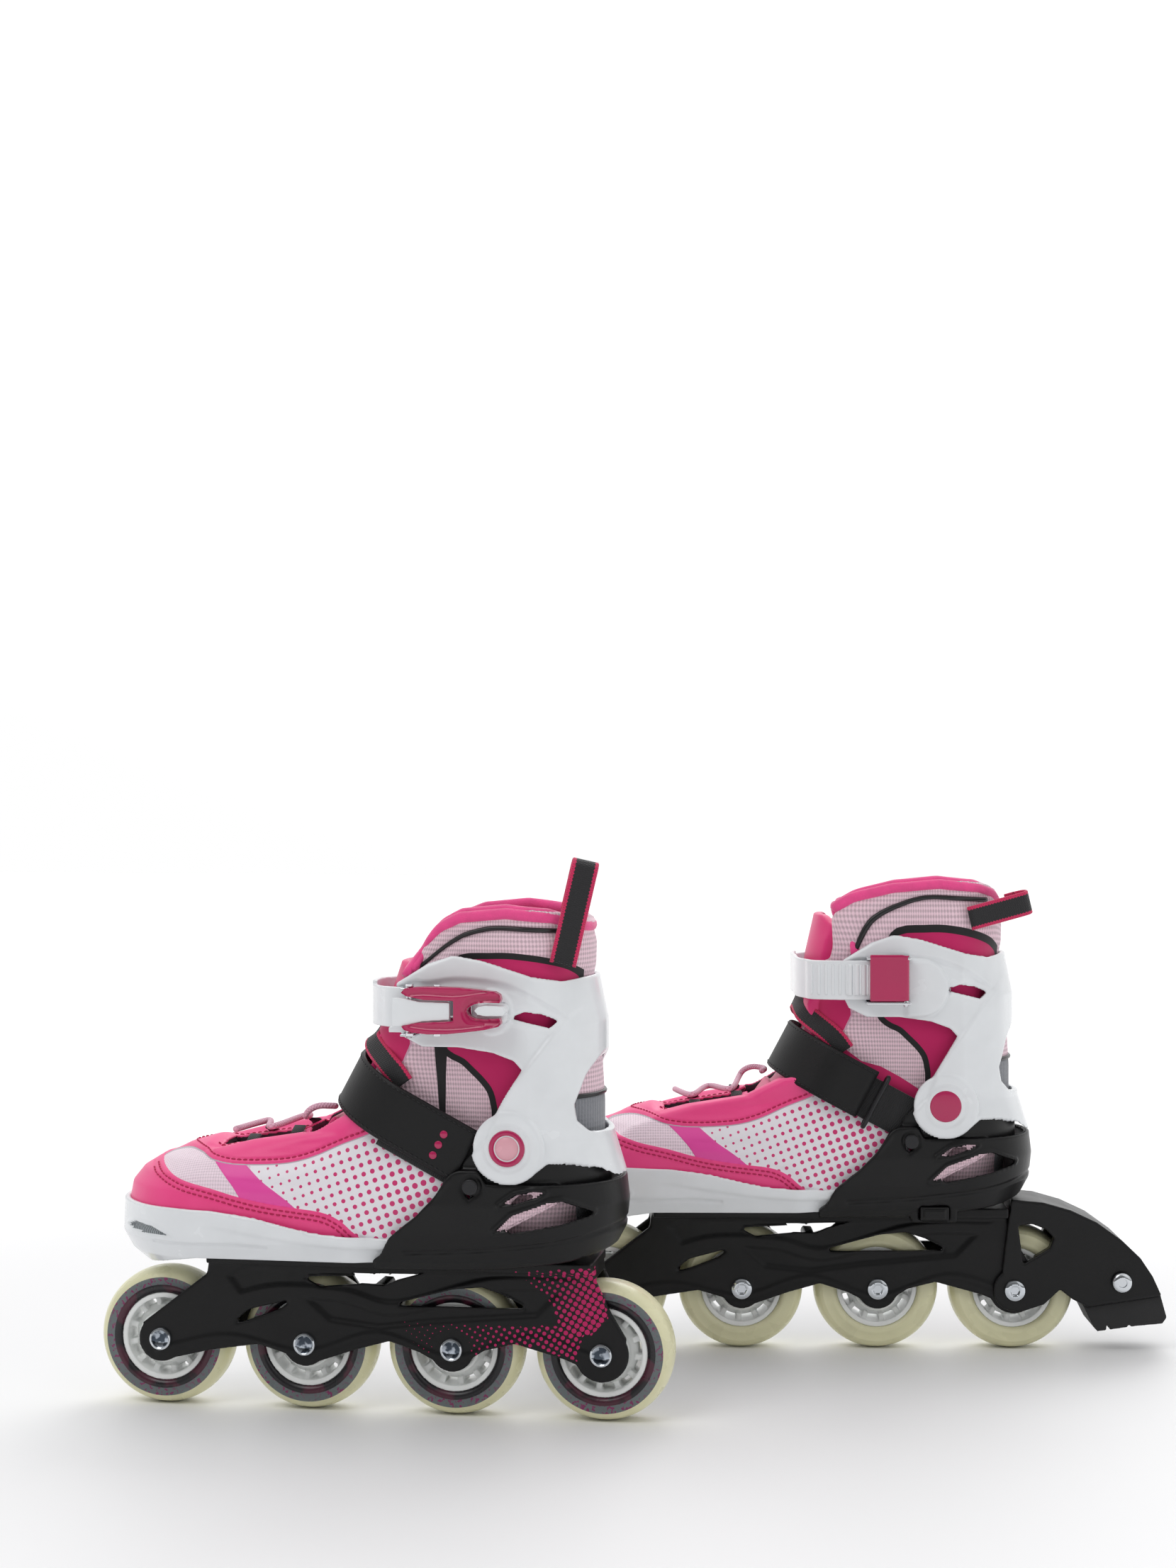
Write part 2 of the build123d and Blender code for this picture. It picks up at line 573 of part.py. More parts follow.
def brake_arm():
    """Arm clamped on the rear axle, closed behind the wheel."""
    through = (-WIDE, WIDE)
    arm = prism(BRAKE_SIDE, BRAKE_OUT) + rod(12, AXLES_X[3], WHEEL_R, (-BRAKE_OUT, BRAKE_OUT))
    arm -= prism(BRAKE_WINDOW, WIDE)
    arm -= rod(WHEEL_R + 2.5, AXLES_X[3], WHEEL_R, (-RAIL_IN - 0.5, RAIL_IN + 0.5))
    for space in (CLAMP_INSIDE, CLAMP_REAR):
        arm -= prism(space, BRAKE_IN)
    arm -= rod(BEARING_BORE_R, AXLES_X[3], WHEEL_R, through)
    arm -= rod(BOLT_R + RUNNING, *BRAKE_BOLT, through)
    return arm


def brake_pad():
    """Rubber block under the arm, with fins across its back."""
    pad = prism(PAD_SIDE, 17)
    for x in (158, 170, 182, 194):
        pad -= block((x, x + 2), (-20, 20), (5, 15.5))
    return pad


def brake_bolt():
    """Bolt across the arm that holds the pad, with a wide head outside and a nut inside."""
    head = 2.2
    stem = rod(BOLT_R, *BRAKE_BOLT, (-BRAKE_OUT, BRAKE_OUT))
    stem += rod(6.5, *BRAKE_BOLT, (-BRAKE_OUT - head, -BRAKE_OUT))
    return stem + rod(5.5, *BRAKE_BOLT, (BRAKE_OUT, BRAKE_OUT + head))


# ---- one skate ------------------------------------------------------------------------------------
def build_skate(with_brake):
    """All pieces of one skate by name, outer side towards -Y."""
    pieces = {"frame": [frame()]}
    axles = []
    for index, x in enumerate(AXLES_X):
        wide = BRAKE_OUT if with_brake and index == 3 else RAIL_OUT
        axles += [Pos(x, 0, WHEEL_R) * solid for solid in axle(wide)]
        pieces[f"tyre_{index + 1}"] = [Pos(x, 0, WHEEL_R) * tyre()]
        pieces[f"hub_{index + 1}"] = [Pos(x, 0, WHEEL_R) * solid for solid in hub_and_bearings()]
    pieces["axles"] = axles
    pieces["heel_shell"] = [shell()]
    pieces["toe_base"] = [toe_base()]
    pieces["upper"] = [upper()]
    pieces["liner"] = [liner()]
    pieces["tongue"] = [tongue()]
    pieces["insole"] = [insole()]
    pieces["lace"] = [lace()]
    pieces["instep_strap"] = [instep_strap()]
    pieces["strap_anchor"] = strap_anchor()
    pieces["cuff"] = [cuff()]
    pieces["cuff_pivots"] = cuff_pivots()
    pieces["ladder_strap"] = [ladder_strap()]
    pieces["buckle_base"] = buckle_base()
    pieces["lever"] = [lever()]
    pieces["clasp_base"] = clasp_base()
    pieces["clasp_tab"] = [clasp_tab()]
    pieces["size_button"] = [size_button()]
    pieces["bolts"] = bolts()
    if with_brake:
        pieces["pull_loop"] = [pull_loop(1, (88, 38.2, 243), 66, 25, 44)]
        pieces["brake_arm"] = [brake_arm()]
        pieces["brake_pad"] = [brake_pad()]
        pieces["bolts"].append(brake_bolt())
    else:
        pieces["pull_loop"] = [pull_loop(-1, (95.5, -31.6, 237), 13, 40, 53)]
    return pieces


def write(prefix, pieces, place):
    """Move every piece to its place in the pair and write one file for each."""
    box = None
    for name, solids in pieces.items():
        moved = [place(solid) for solid in solids]
        shape = moved[0] if len(moved) == 1 else Compound(children=moved)
        shape.label = prefix + name
        export_step(shape, f"parts/{prefix}{name}.step")
        size = shape.bounding_box()
        box = size if box is None else box.add(size)
    return box


os.makedirs("parts", exist_ok=True)
to_centre = Pos(-PAIR_CENTRE[0], -PAIR_CENTRE[1], 0)
to_right = to_centre * Pos(*RIGHT_PLACE, 0) * Rot(0, 0, RIGHT_YAW)
left_box = write("left_", build_skate(False), lambda solid: to_centre * solid)
right_box = write("right_", build_skate(True), lambda solid: to_right * mirror(solid, about=Plane.XZ))
pair = left_box.add(right_box)
print("pair box", pair.min, pair.max, "centre", pair.center())
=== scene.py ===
"""Looks of a pair of adjustable inline skates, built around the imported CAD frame.

Every piece is shaped once, in the left skate's own frame: millimetres, toe towards -X, outer
side towards -Y, floor at Z = 0, middle of the wheelbase at X = 0. It is then placed on both
skates; the right skate is the mirror image, standing beside the left one at a small angle.
"""
import json
import math

import bpy
import numpy as np
from mathutils import Matrix, Vector
from mathutils.bvhtree import BVHTree


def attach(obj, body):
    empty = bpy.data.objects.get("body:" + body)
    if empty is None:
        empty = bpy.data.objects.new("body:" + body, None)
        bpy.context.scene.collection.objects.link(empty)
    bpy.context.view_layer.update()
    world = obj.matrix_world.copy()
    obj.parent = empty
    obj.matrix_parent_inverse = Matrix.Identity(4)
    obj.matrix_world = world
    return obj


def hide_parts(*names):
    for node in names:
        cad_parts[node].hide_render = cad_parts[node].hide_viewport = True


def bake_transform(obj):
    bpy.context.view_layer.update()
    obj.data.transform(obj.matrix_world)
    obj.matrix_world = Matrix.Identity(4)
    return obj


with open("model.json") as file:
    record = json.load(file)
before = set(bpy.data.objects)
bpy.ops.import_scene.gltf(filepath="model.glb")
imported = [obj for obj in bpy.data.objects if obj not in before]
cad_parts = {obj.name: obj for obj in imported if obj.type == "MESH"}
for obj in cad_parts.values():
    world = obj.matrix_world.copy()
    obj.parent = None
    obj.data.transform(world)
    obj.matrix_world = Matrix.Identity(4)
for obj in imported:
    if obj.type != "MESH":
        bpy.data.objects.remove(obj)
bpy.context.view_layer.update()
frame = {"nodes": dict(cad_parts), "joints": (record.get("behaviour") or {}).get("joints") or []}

MM = 0.001
JOINTS = {joint["name"]: joint for joint in frame["joints"]}


# ---- the two skates ----
class Skate:
    """One skate's prefix, and the matrix from its own millimetres to the row frame."""

    def __init__(self, side, mirrored):
        self.side = side
        self.mirrored = mirrored
        front, rear = (Vector(JOINTS[f"{side}_wheel_{n}_spin"]["pos_m"]) for n in (1, 4))
        ahead = (rear - front).normalized()
        across = Vector((0, 0, 1)).cross(ahead) * (-1 if mirrored else 1)
        turn = Matrix((ahead, across, (0, 0, 1))).transposed().to_4x4()
        middle = (front + rear) / 2
        ground = Matrix.Translation((middle.x, middle.y, 0))
        self.to_row = ground @ turn @ Matrix.Diagonal((MM, MM, MM, 1))

    def name(self, piece):
        return f"{self.side}_{piece}"


LEFT = Skate("left", False)
RIGHT = Skate("right", True)
PAIR = (LEFT, RIGHT)


# ---- shapes ----
def unit(vectors):
    """The same vectors, each 1 long."""
    return vectors / np.maximum(np.linalg.norm(vectors, axis=-1, keepdims=True), 1e-12)


class Shape:
    """A mesh in millimetres, with numbers per point that its materials read."""

    def __init__(self, points, faces, slots=None):
        self.points = np.array(points, float).reshape(-1, 3)
        self.faces = [tuple(face) for face in faces]
        self.slots = slots
        self.values = {}

    def join(self, *others):
        """This shape with others added as loose parts; each keeps its material slots."""
        shapes = [self, *others]
        slots = [slot for s in shapes
                 for slot in (s.slots if s.slots is not None else [0] * len(s.faces))]
        points, faces, start = [], [], 0
        for shape in shapes:
            points.append(shape.points)
            faces += [tuple(i + start for i in face) for face in shape.faces]
            start += len(shape.points)
        whole = Shape(np.concatenate(points), faces, slots)
        for name in {name for shape in shapes for name in shape.values}:
            whole.values[name] = np.concatenate(
                [s.values.get(name, np.zeros(len(s.points))) for s in shapes])
        return whole

    def painted(self, slot):
        self.slots = [slot] * len(self.faces)
        return self

    def moved(self, x=0.0, y=0.0, z=0.0):
        return self.mapped(lambda p: p + np.array([x, y, z]))

    def mapped(self, change, flip=False):
        faces = [face[::-1] for face in self.faces] if flip else self.faces
        other = Shape(change(self.points.copy()), faces, self.slots)
        other.values = dict(self.values)
        return other

    def mirrored(self):
        return self.mapped(lambda p: p * np.array([1, -1, 1]), flip=True)

    def normals(self):
        """Unit normal at each point."""
        corners = np.array([(f[0], f[i], f[i + 1])
                            for f in self.faces for i in range(1, len(f) - 1)])
        p = self.points
        normal = np.cross(p[corners[:, 1]] - p[corners[:, 0]], p[corners[:, 2]] - p[corners[:, 0]])
        total = np.zeros_like(p)
        for column in range(3):
            for axis in range(3):
                total[:, axis] += np.bincount(corners[:, column], normal[:, axis], len(p))
        return unit(total)

    def slots_by(self, rule):
        """Gives each face the material slot that the rule says for the face's middle."""
        middle = np.array([self.points[list(face)].mean(0) for face in self.faces])
        self.slots = [int(slot) for slot in rule(middle)]

    def cloth(self, u, v):
        """Where each point lies on the cloth, in millimetres, for a weave."""
        self.values["cloth_u"], self.values["cloth_v"] = u, v

    def tree(self):
        return BVHTree.FromPolygons(self.points.tolist(), self.faces)


def joined(shapes):
    """Several shapes as one."""
    return shapes[0].join(*shapes[1:])


def cad_shape(piece, skate=LEFT):
    """A CAD node in the skate's own frame."""
    mesh = frame["nodes"][skate.name(piece)].data
    back = np.array(skate.to_row.inverted())
    points = np.array([tuple(v.co) for v in mesh.vertices])
    faces = [tuple(p.vertices) for p in mesh.polygons]
    if skate.mirrored:
        faces = [face[::-1] for face in faces]
    return Shape(points @ back[:3, :3].T + back[:3, 3], faces)


def with_modifiers(shape, *modifiers):
    """The shape after Blender modifiers, each given as (type, settings)."""
    mesh = bpy.data.meshes.new("work")
    mesh.from_pydata(shape.points.tolist(), [], shape.faces)
    work = bpy.data.objects.new("work", mesh)
    bpy.context.scene.collection.objects.link(work)
    for kind, settings in modifiers:
        modifier = work.modifiers.new("work", kind)
        for key, value in settings.items():
            setattr(modifier, key, value)
    graph = bpy.context.evaluated_depsgraph_get()
    made = bpy.data.meshes.new_from_object(work.evaluated_get(graph))
    points = np.zeros(len(made.vertices) * 3, np.float32)
    made.vertices.foreach_get("co", points)
    result = Shape(points, [tuple(p.vertices) for p in made.polygons])
    bpy.data.objects.remove(work)
    for used in (mesh, made):
        bpy.data.meshes.remove(used)
    return result


def relaxed(shape, passes, shrink=0.0):
    """Evens out the points of a mesh; shrink 0 keeps its size and 1 lets it shrink freely."""
    ends = [(f[i - 1], f[i]) for f in shape.faces for i in range(len(f))]
    a, b = np.array(ends).T
    start, end = np.concatenate([a, b]), np.concatenate([b, a])
    count = np.maximum(np.bincount(start, minlength=len(shape.points)), 1)[:, None]
    points = shape.points
    for _ in range(passes):
        for strength in (0.5, -0.52 * (1 - shrink)):
            mean = np.stack([np.bincount(start, points[end, k], len(points)) for k in range(3)], 1)
            points = points + (mean / count - points) * strength
    shape.points = points
    return shape


def moulded(shape, voxel, passes=8, shrink=0.0):
    """A solid with its edges rounded, as a moulding or a sewn shell has them."""
    remesh = ("REMESH", {"mode": "VOXEL", "voxel_size": voxel, "adaptivity": 0.0})
    return relaxed(with_modifiers(shape, remesh), passes, shrink)


def cad_moulded(piece, voxel, passes=8, skate=LEFT):
    """A CAD node in the skate's own frame, with its edges rounded."""
    return moulded(cad_shape(piece, skate), voxel, passes)


def curve(points, steps=6, closed=False):
    """Smooth line through a few points."""
    at = [np.array(p, float) for p in points]
    if closed:
        around = [at[-1], *at, at[0], at[1]]
    else:
        around = [2 * at[0] - at[1], *at, 2 * at[-1] - at[-2]]
    line = []
    for a, b, c, d in zip(around, around[1:], around[2:], around[3:]):
        for t in np.linspace(0, 1, steps, endpoint=False):
            line.append(0.5 * (2 * b + (c - a) * t + (2 * a - 5 * b + 4 * c - d) * t * t
                               + (3 * b - a - 3 * c + d) * t ** 3))
    return np.array(line if closed else [*line, at[-1]])


def run(line):
    """How far along a line each of its points is."""
    return np.concatenate([[0], np.cumsum(np.linalg.norm(np.diff(line, axis=0), axis=1))])


def even(line, step):
    """The same line with points an even step apart."""
    line = np.array(line, float)
    along = run(line)
    count = max(2, int(round(along[-1] / step)) + 1)
    at = np.linspace(0, along[-1], count)
    return np.stack([np.interp(at, along, line[:, k]) for k in range(line.shape[1])], 1)


def line_distance(at, line):
    """Distance of each 2-D point from a line."""
    best = np.full(len(at), 1e9)
    for a, b in zip(line, line[1:]):
        span = b - a
        share = np.clip(((at - a) @ span) / max(span @ span, 1e-12), 0, 1)
        best = np.minimum(best, np.linalg.norm(at - a - share[:, None] * span, axis=1))
    return best


def inset_depth(at, outline):
    """How far each 2-D point lies inside an outline, or minus how far outside."""
    outline = np.array(outline, float)
    ring = np.vstack([outline, outline[:1]])
    inside = np.zeros(len(at), bool)
    for a, b in zip(ring, ring[1:]):
        if a[1] == b[1]:
            continue
        crosses = (a[1] > at[:, 1]) != (b[1] > at[:, 1])
        inside ^= crosses & (at[:, 0] < a[0] + (at[:, 1] - a[1]) * (b[0] - a[0]) / (b[1] - a[1]))
    return np.where(inside, 1, -1) * line_distance(at, ring)


def ease(x, low, high):
    """0 below low, 1 above high, smooth between."""
    t = np.clip((x - low) / (high - low), 0, 1)
    return t * t * (3 - 2 * t)


def beside(at, line, far, near):
    """0 for 2-D points beyond far from a line, 1 for those within near, smooth between."""
    return ease(-line_distance(at, line), -far, -near)


def swept(rings, sides, closed=False):
    """Faces that join each ring of points to the next."""
    faces = []
    for k in range(rings if closed else rings - 1):
        j = (k + 1) % rings
        for n in range(sides):
            m = (n + 1) % sides
            faces.append((k * sides + n, k * sides + m, j * sides + m, j * sides + n))
    return faces


def tube(line, radius, sides=10, closed=False):
    """Round rod along a line."""
    line = np.array(line, float)
    count = len(line)
    radii = np.broadcast_to(np.array(radius, float), (count,))
    if closed:
        ahead = np.roll(line, -1, 0) - np.roll(line, 1, 0)
    else:
        ahead = np.gradient(line, axis=0)
    ahead = unit(ahead)
    side = np.cross(ahead[0], (0.31, 0.17, 0.93))      # any direction that no line here follows
    points = []
    for k in range(count):
        side = unit(side - ahead[k] * (side @ ahead[k]))
        lift = np.cross(side, ahead[k])
        for n in range(sides):
            angle = 2 * math.pi * n / sides
            points.append(line[k] + radii[k] * (side * math.cos(angle) + lift * math.sin(angle)))
    faces = swept(count, sides, closed)
    if not closed:
        faces.append(tuple(range(sides))[::-1])
        faces.append(tuple((count - 1) * sides + n for n in range(sides)))
    return Shape(points, faces)


def ribbon(line, up, width, thick, edge=0.5, across_steps=6):
    """Flat strap along a line. up is its outward normal; a value "across" runs from -1 to 1."""
    line, up = np.array(line, float), np.array(up, float)
    ahead = np.gradient(line, axis=0)
    side = unit(np.cross(up, ahead))
    lift = unit(np.cross(ahead, side))
    half = width / 2
    top = [(half * (1 - 2 * n / across_steps), thick) for n in range(across_steps + 1)]
    top[0], top[-1] = (half - edge, thick), (edge - half, thick)
    section = [(half, thick * 0.5), *top, (-half, thick * 0.5)]
    section += [(-x, -z + thick) for x, z in top]
    count, last = len(section), len(line) - 1
    points = [line[k] + side[k] * x + lift[k] * z for k in range(len(line)) for x, z in section]
    faces = [(a, d, c, b) for a, b, c, d in swept(len(line), count)]
    faces += [tuple(range(count)), tuple(last * count + n for n in range(count))[::-1]]
    made = Shape(points, faces)
    made.values = {"across": np.tile([x / half for x, z in section], len(line)),
                   "along": np.repeat(run(line), count)}
    return made


def lathe(profile, sides=64):
    """Turned shape round Y through the origin, from (radius, y) points.

    It is a closed ring if the points end where they start.
    """
    rings = len(profile)
    points = []
    for radius, y in profile:
        for n in range(sides):
            angle = 2 * math.pi * n / sides
            points.append((radius * math.cos(angle), y, radius * math.sin(angle)))
    faces = swept(rings, sides)
    for ring, last in ((0, False), (rings - 1, True)):
        if profile[ring][0] > 0.01 and profile[0] != profile[-1]:
            cap = tuple(ring * sides + n for n in range(sides))
            faces.append(cap if last else cap[::-1])
    return with_modifiers(Shape(points, faces), ("WELD", {"merge_threshold": 1e-4}))


def stitches(line, normals, length=2.3, gap=1.0, radius=0.42):
    """Row of short raised threads along a line that lies on a surface."""
    both = even(np.hstack([line, normals]), length + gap)
    made = []
    for a, b in zip(both, both[1:]):
        start, end, up = a[:3], b[:3], (a[3:] + b[3:]) / 2
        thread = (end - start) * length / (length + gap)
        lift = unit(up) * radius
        path = [start + thread * share + lift * height for share, height in
                ((0, -0.6), (0.2, 0.55), (0.5, 0.8), (0.8, 0.55), (1, -0.6))]
        made.append(tube(path, [radius * 0.7, radius, radius, radius, radius * 0.7], 5))
    return joined(made)


FAR_OUT = 90.0            # side rays start this far from the boot's mid-plane or its axis
HIGH_UP = 320.0           # rays from above start at this height


class Skin:
    """Finds points and normals on a shape from straight outside it."""

    def __init__(self, shape):
        self.search = shape.tree()

    def hit(self, origin, direction):
        found = self.search.ray_cast(Vector(origin), Vector(direction))
        return (np.array(found[0]), np.array(found[1])) if found[0] is not None else None

    def follow(self, starts, direction, lift):
        """Points and normals where rays from the starts meet the shape."""
        found = [f for f in (self.hit(start, direction) for start in starts) if f is not None]
        return np.array([p + n * lift for p, n in found]), np.array([n for _, n in found])

    def side(self, line, side, lift=0.0):
        """The line's (x, z) points on the side towards side (-1 outer, 1 inner)."""
        return self.follow([(x, side * FAR_OUT, z) for x, z in line], (0, -side, 0), lift)

    def above(self, line, lift=0.0):
        """The line's (x, y) points on the top."""
        return self.follow([(x, y, HIGH_UP) for x, y in line], (0, 0, -1), lift)


def side_view(shape):
    """Each point's (x, z)."""
    return shape.points[:, [0, 2]]


# ---- materials ----
def rgb(red, green, blue):
    """Linear colour from an 8-bit screen colour."""
    shares = [channel / 255 for channel in (red, green, blue)]
    return (*(c / 12.92 if c < 0.04045 else ((c + 0.055) / 1.055) ** 2.4 for c in shares), 1.0)


WHITE = rgb(236, 239, 242)
BLACK = rgb(15, 15, 16)
MAGENTA = rgb(248, 74, 144)
DEEP_MAGENTA = rgb(182, 24, 86)
PLUSH = rgb(252, 84, 154)
PALE_PINK = rgb(246, 214, 226)
CORD_PINK = rgb(246, 190, 212)
GREY = rgb(132, 134, 140)


class Finish:
    """A Principled material and the nodes that feed it."""

    def __init__(self, name, colour, roughness=0.5, **sockets):
        self.made = bpy.data.materials.new(name)
        self.made.use_nodes = True
        self.tree = self.made.node_tree
        self.shader = self.tree.nodes["Principled BSDF"]
        self.shader.inputs["Base Color"].default_value = colour
        self.shader.inputs["Roughness"].default_value = roughness
        for key, value in sockets.items():
            self.shader.inputs[key.replace("_", " ")].default_value = value
        self.colour = colour
        self.height = None

    def node(self, kind, inputs=(), output=0, **settings):
        made = self.tree.nodes.new("ShaderNode" + kind)
        for key, value in settings.items():
            setattr(made, key, value)
        for key, value in dict(inputs).items():
            if isinstance(value, bpy.types.NodeSocket):
                self.tree.links.new(value, made.inputs[key])
            else:
                made.inputs[key].default_value = value
        return made.outputs[output]

    def math(self, operation, a, b=0.0, c=0.0):
        return self.node("Math", {0: a, 1: b, 2: c}, operation=operation)

    def value(self, name):
        return self.node("Attribute", output="Fac", attribute_name=name)

    def flat(self):
        """(x, z, y) in the skate's own millimetres."""
        return self.node("Attribute", output="Vector", attribute_name="flat")

    def step(self, value, at=0.0, soft=0.12):
        """0 below at, 1 above."""
        return self.node("MapRange", {"Value": value, "From Min": at - soft, "From Max": at + soft},
                         interpolation_type="SMOOTHSTEP")

    def noise(self, scale, detail=3.0):
        """Noise with a pattern of about 1 / scale millimetres."""
        return self.node("TexNoise", {"Vector": self.flat(), "Scale": scale, "Detail": detail},
                         output="Fac")

    def wave(self, along, pitch, kind="SINE"):
        """Wave of one length per pitch, in millimetres."""
        return self.math(kind, self.math("MULTIPLY", along, 2 * math.pi / pitch))

    def dots(self, size, pitch, degrees):
        """1 inside round dots on a tilted grid; size is their radius over the pitch."""
        cells = self.node("Mapping", {"Vector": self.flat(), "Scale": (1 / pitch, 1 / pitch, 0),
                                      "Rotation": (0, 0, math.radians(degrees))})
        away = self.node("TexVoronoi", {"Vector": cells, "Scale": 1.0, "Randomness": 0.0},
                         output="Distance", voronoi_dimensions="2D")
        return self.step(self.math("SUBTRACT", size, away), 0.0, 0.02)

    def mix(self, share, a, b):
        return self.node("Mix", {0: share, 6: a, 7: b}, output=2, data_type="RGBA")

    def paint(self, share, colour):
        """Lays a colour over what is there where share is 1."""
        self.colour = self.mix(share, self.colour, colour)
        return self

    def raise_by(self, pattern, amount=1.0):
        """Adds fine relief: a pattern times an amount in millimetres."""
        height = self.math("MULTIPLY", pattern, amount)
        self.height = height if self.height is None else self.math("ADD", self.height, height)
        return self

    def vary(self, scale, amount, roughness=0.08):
        """Slight unevenness of colour and gloss."""
        spread = self.noise(scale)
        self.shade(spread, 0.3, 0.7, 1 - amount)
        base = self.shader.inputs["Roughness"].default_value
        gloss = self.node("MapRange", {"Value": spread, "From Min": 0.3, "From Max": 0.7,
                                       "To Min": base - roughness / 2,
                                       "To Max": base + roughness / 2})
        self.tree.links.new(gloss, self.shader.inputs["Roughness"])
        return self

    def shade(self, share, low, high=1.0, dark=0.5, light=1.0):
        """Darkens what is there to dark where share is low, and to light where it is high."""
        share = self.node("MapRange", {"Value": share, "From Min": low, "From Max": high,
                                       "To Min": dark, "To Max": light})
        grey = self.node("CombineColor", {0: share, 1: share, 2: share})
        self.colour = self.node("Mix", {0: 1.0, 6: self.colour, 7: grey}, output=2,
                                data_type="RGBA", blend_type="MULTIPLY")
        return self

    def done(self):
        if isinstance(self.colour, bpy.types.NodeSocket):
            self.tree.links.new(self.colour, self.shader.inputs["Base Color"])
        if self.height is not None:
            normal = self.node("Bump", {"Height": self.height, "Strength": 1.0, "Distance": MM})
            self.tree.links.new(normal, self.shader.inputs["Normal"])
        return self.made


def plastic(name, colour, roughness=0.3, grain=0.02, **sockets):
    finish = Finish(name, colour, roughness, **sockets)
    return finish.raise_by(finish.noise(1.6), grain).vary(0.05, 0.06).done()


def weave(finish, pitch, depth, shade=0.55, smooth=()):
    """Staggered knots of a knitted mesh, left out where a value in smooth is above 0. The hollows
    between the knots get painted shade: the colour is darkened there.
    """
    u, v = finish.value("cloth_u"), finish.math("MULTIPLY", finish.value("cloth_v"), 0.62)
    rows = [finish.wave(finish.math(way, u, v), pitch, "COSINE") for way in ("ADD", "SUBTRACT")]
    knots = finish.math("MULTIPLY", *rows)
    share = finish.node("MapRange", {"Value": knots, "From Min": -0.7, "From Max": 0.5})
    for name in smooth:
        share = finish.math("MAXIMUM", share, finish.step(finish.value(name)))
    # painted shade: the colour is darkened where the knots sink
    return finish.raise_by(share, depth).shade(share, 0.0, dark=shade)


def webbing_finish(name, body, edge=None, pitch=1.1):
    """Woven tape whose ribs run across it, with coloured edges where edge is given. The grooves
    between the ribs get painted shade.
    """
    finish = Finish(name, body, 0.75, Sheen_Weight=0.2)
    across, along = finish.value("across"), finish.value("along")
    threads = finish.math("SINE", finish.math("MULTIPLY", across, 16.0))
    weft = finish.math("MULTIPLY", finish.wave(along, pitch), threads)
    finish.raise_by(weft, 0.10)
    if edge:
        zigzag = finish.math("MULTIPLY", finish.math("PINGPONG", along, 0.9), 0.09)
        margin = finish.math("ADD", finish.math("ABSOLUTE", across), zigzag)
        finish.paint(finish.step(margin, 0.76, 0.03), edge)
    # painted shade: the colour is darkened in the grooves between the ribs
    return finish.shade(weft, -1.0, dark=0.62).done()


def plush_finish():
    finish = Finish("plush", PLUSH, 0.9, Sheen_Weight=0.6, Sheen_Roughness=0.4)
    return finish.raise_by(finish.noise(1.4, 4.0), 0.35).vary(0.12, 0.16).done()


def axle_finish():
    """Bright steel, with a painted reflection in the head's dish: dark and light clouds."""
    finish = Finish("axle_steel", rgb(206, 211, 216), 0.1, Metallic=1.0)
    # painted reflection: dark and light clouds laid into the dish's colour
    reflection_clouds = finish.step(finish.noise(0.22, 2.0), 0.5, 0.06)
    dish = finish.mix(reflection_clouds, rgb(70, 78, 88), rgb(176, 184, 194))
    return finish.paint(finish.step(finish.value("dish"), 0.0, 0.15), dish).done()


def strap_finish():
    """Grained synthetic leather."""
    finish = Finish("strap_coating", rgb(22, 22, 23), 0.5, Specular_IOR_Level=0.3)
    return finish.raise_by(finish.noise(1.1, 4.0), 0.09).vary(0.05, 0.12).done()


def liner_finish():
    """Knitted mesh with a coated panel, black bindings and a grey heel patch."""
    finish = Finish("liner_cloth", PALE_PINK, 0.85, Sheen_Weight=0.25)
    weave(finish, 3.0, 0.3, 0.62, ("binding", "front_strip", "front_panel", "vamp"))
    for value, colour in (("heel_patch", GREY), ("binding", rgb(24, 24, 26)),
                          ("ankle_panel", rgb(196, 24, 96)), ("front_strip", rgb(24, 24, 26)),
                          ("front_panel", rgb(204, 32, 100)), ("panel_edge", rgb(214, 168, 190)),
                          ("vamp", rgb(204, 32, 100)), ("lining", rgb(214, 60, 130))):
        finish.paint(finish.step(finish.value(value)), colour)
    return finish.done()


def upper_finish():
    """Stitched panels: coated toe cap, eyestay and stripe, mesh window, printed quarter."""
    finish = Finish("upper_panels", rgb(252, 230, 242), 0.42, Sheen_Weight=0.1)
    size = finish.node("MapRange", {"Value": finish.node("SeparateXYZ", {0: finish.flat()}),
                                    "From Min": -75.0, "From Max": 30.0,
                                    "To Min": 0.08, "To Max": 0.33})
    quarter = finish.mix(finish.dots(size, 4.68, -20), rgb(240, 236, 242), rgb(212, 48, 116))
    weave(finish, 2.8, 0.2, 0.78, ("coated", "stripe", "quarter"))
    panel = finish.mix(finish.step(finish.noise(0.08), 0.5, 0.5), MAGENTA, rgb(244, 66, 136))
    for value, soft, colour in (("quarter", 0.12, quarter), ("stripe", 0.12, rgb(236, 74, 166)),
                                ("edge_line", 0.2, rgb(186, 176, 186)), ("coated", 0.12, panel),
                                ("lining", 0.12, rgb(60, 50, 58))):
        finish.paint(finish.step(finish.value(value), 0.0, soft), colour)
    return finish.raise_by(finish.noise(1.3, 4.0), 0.05).done()


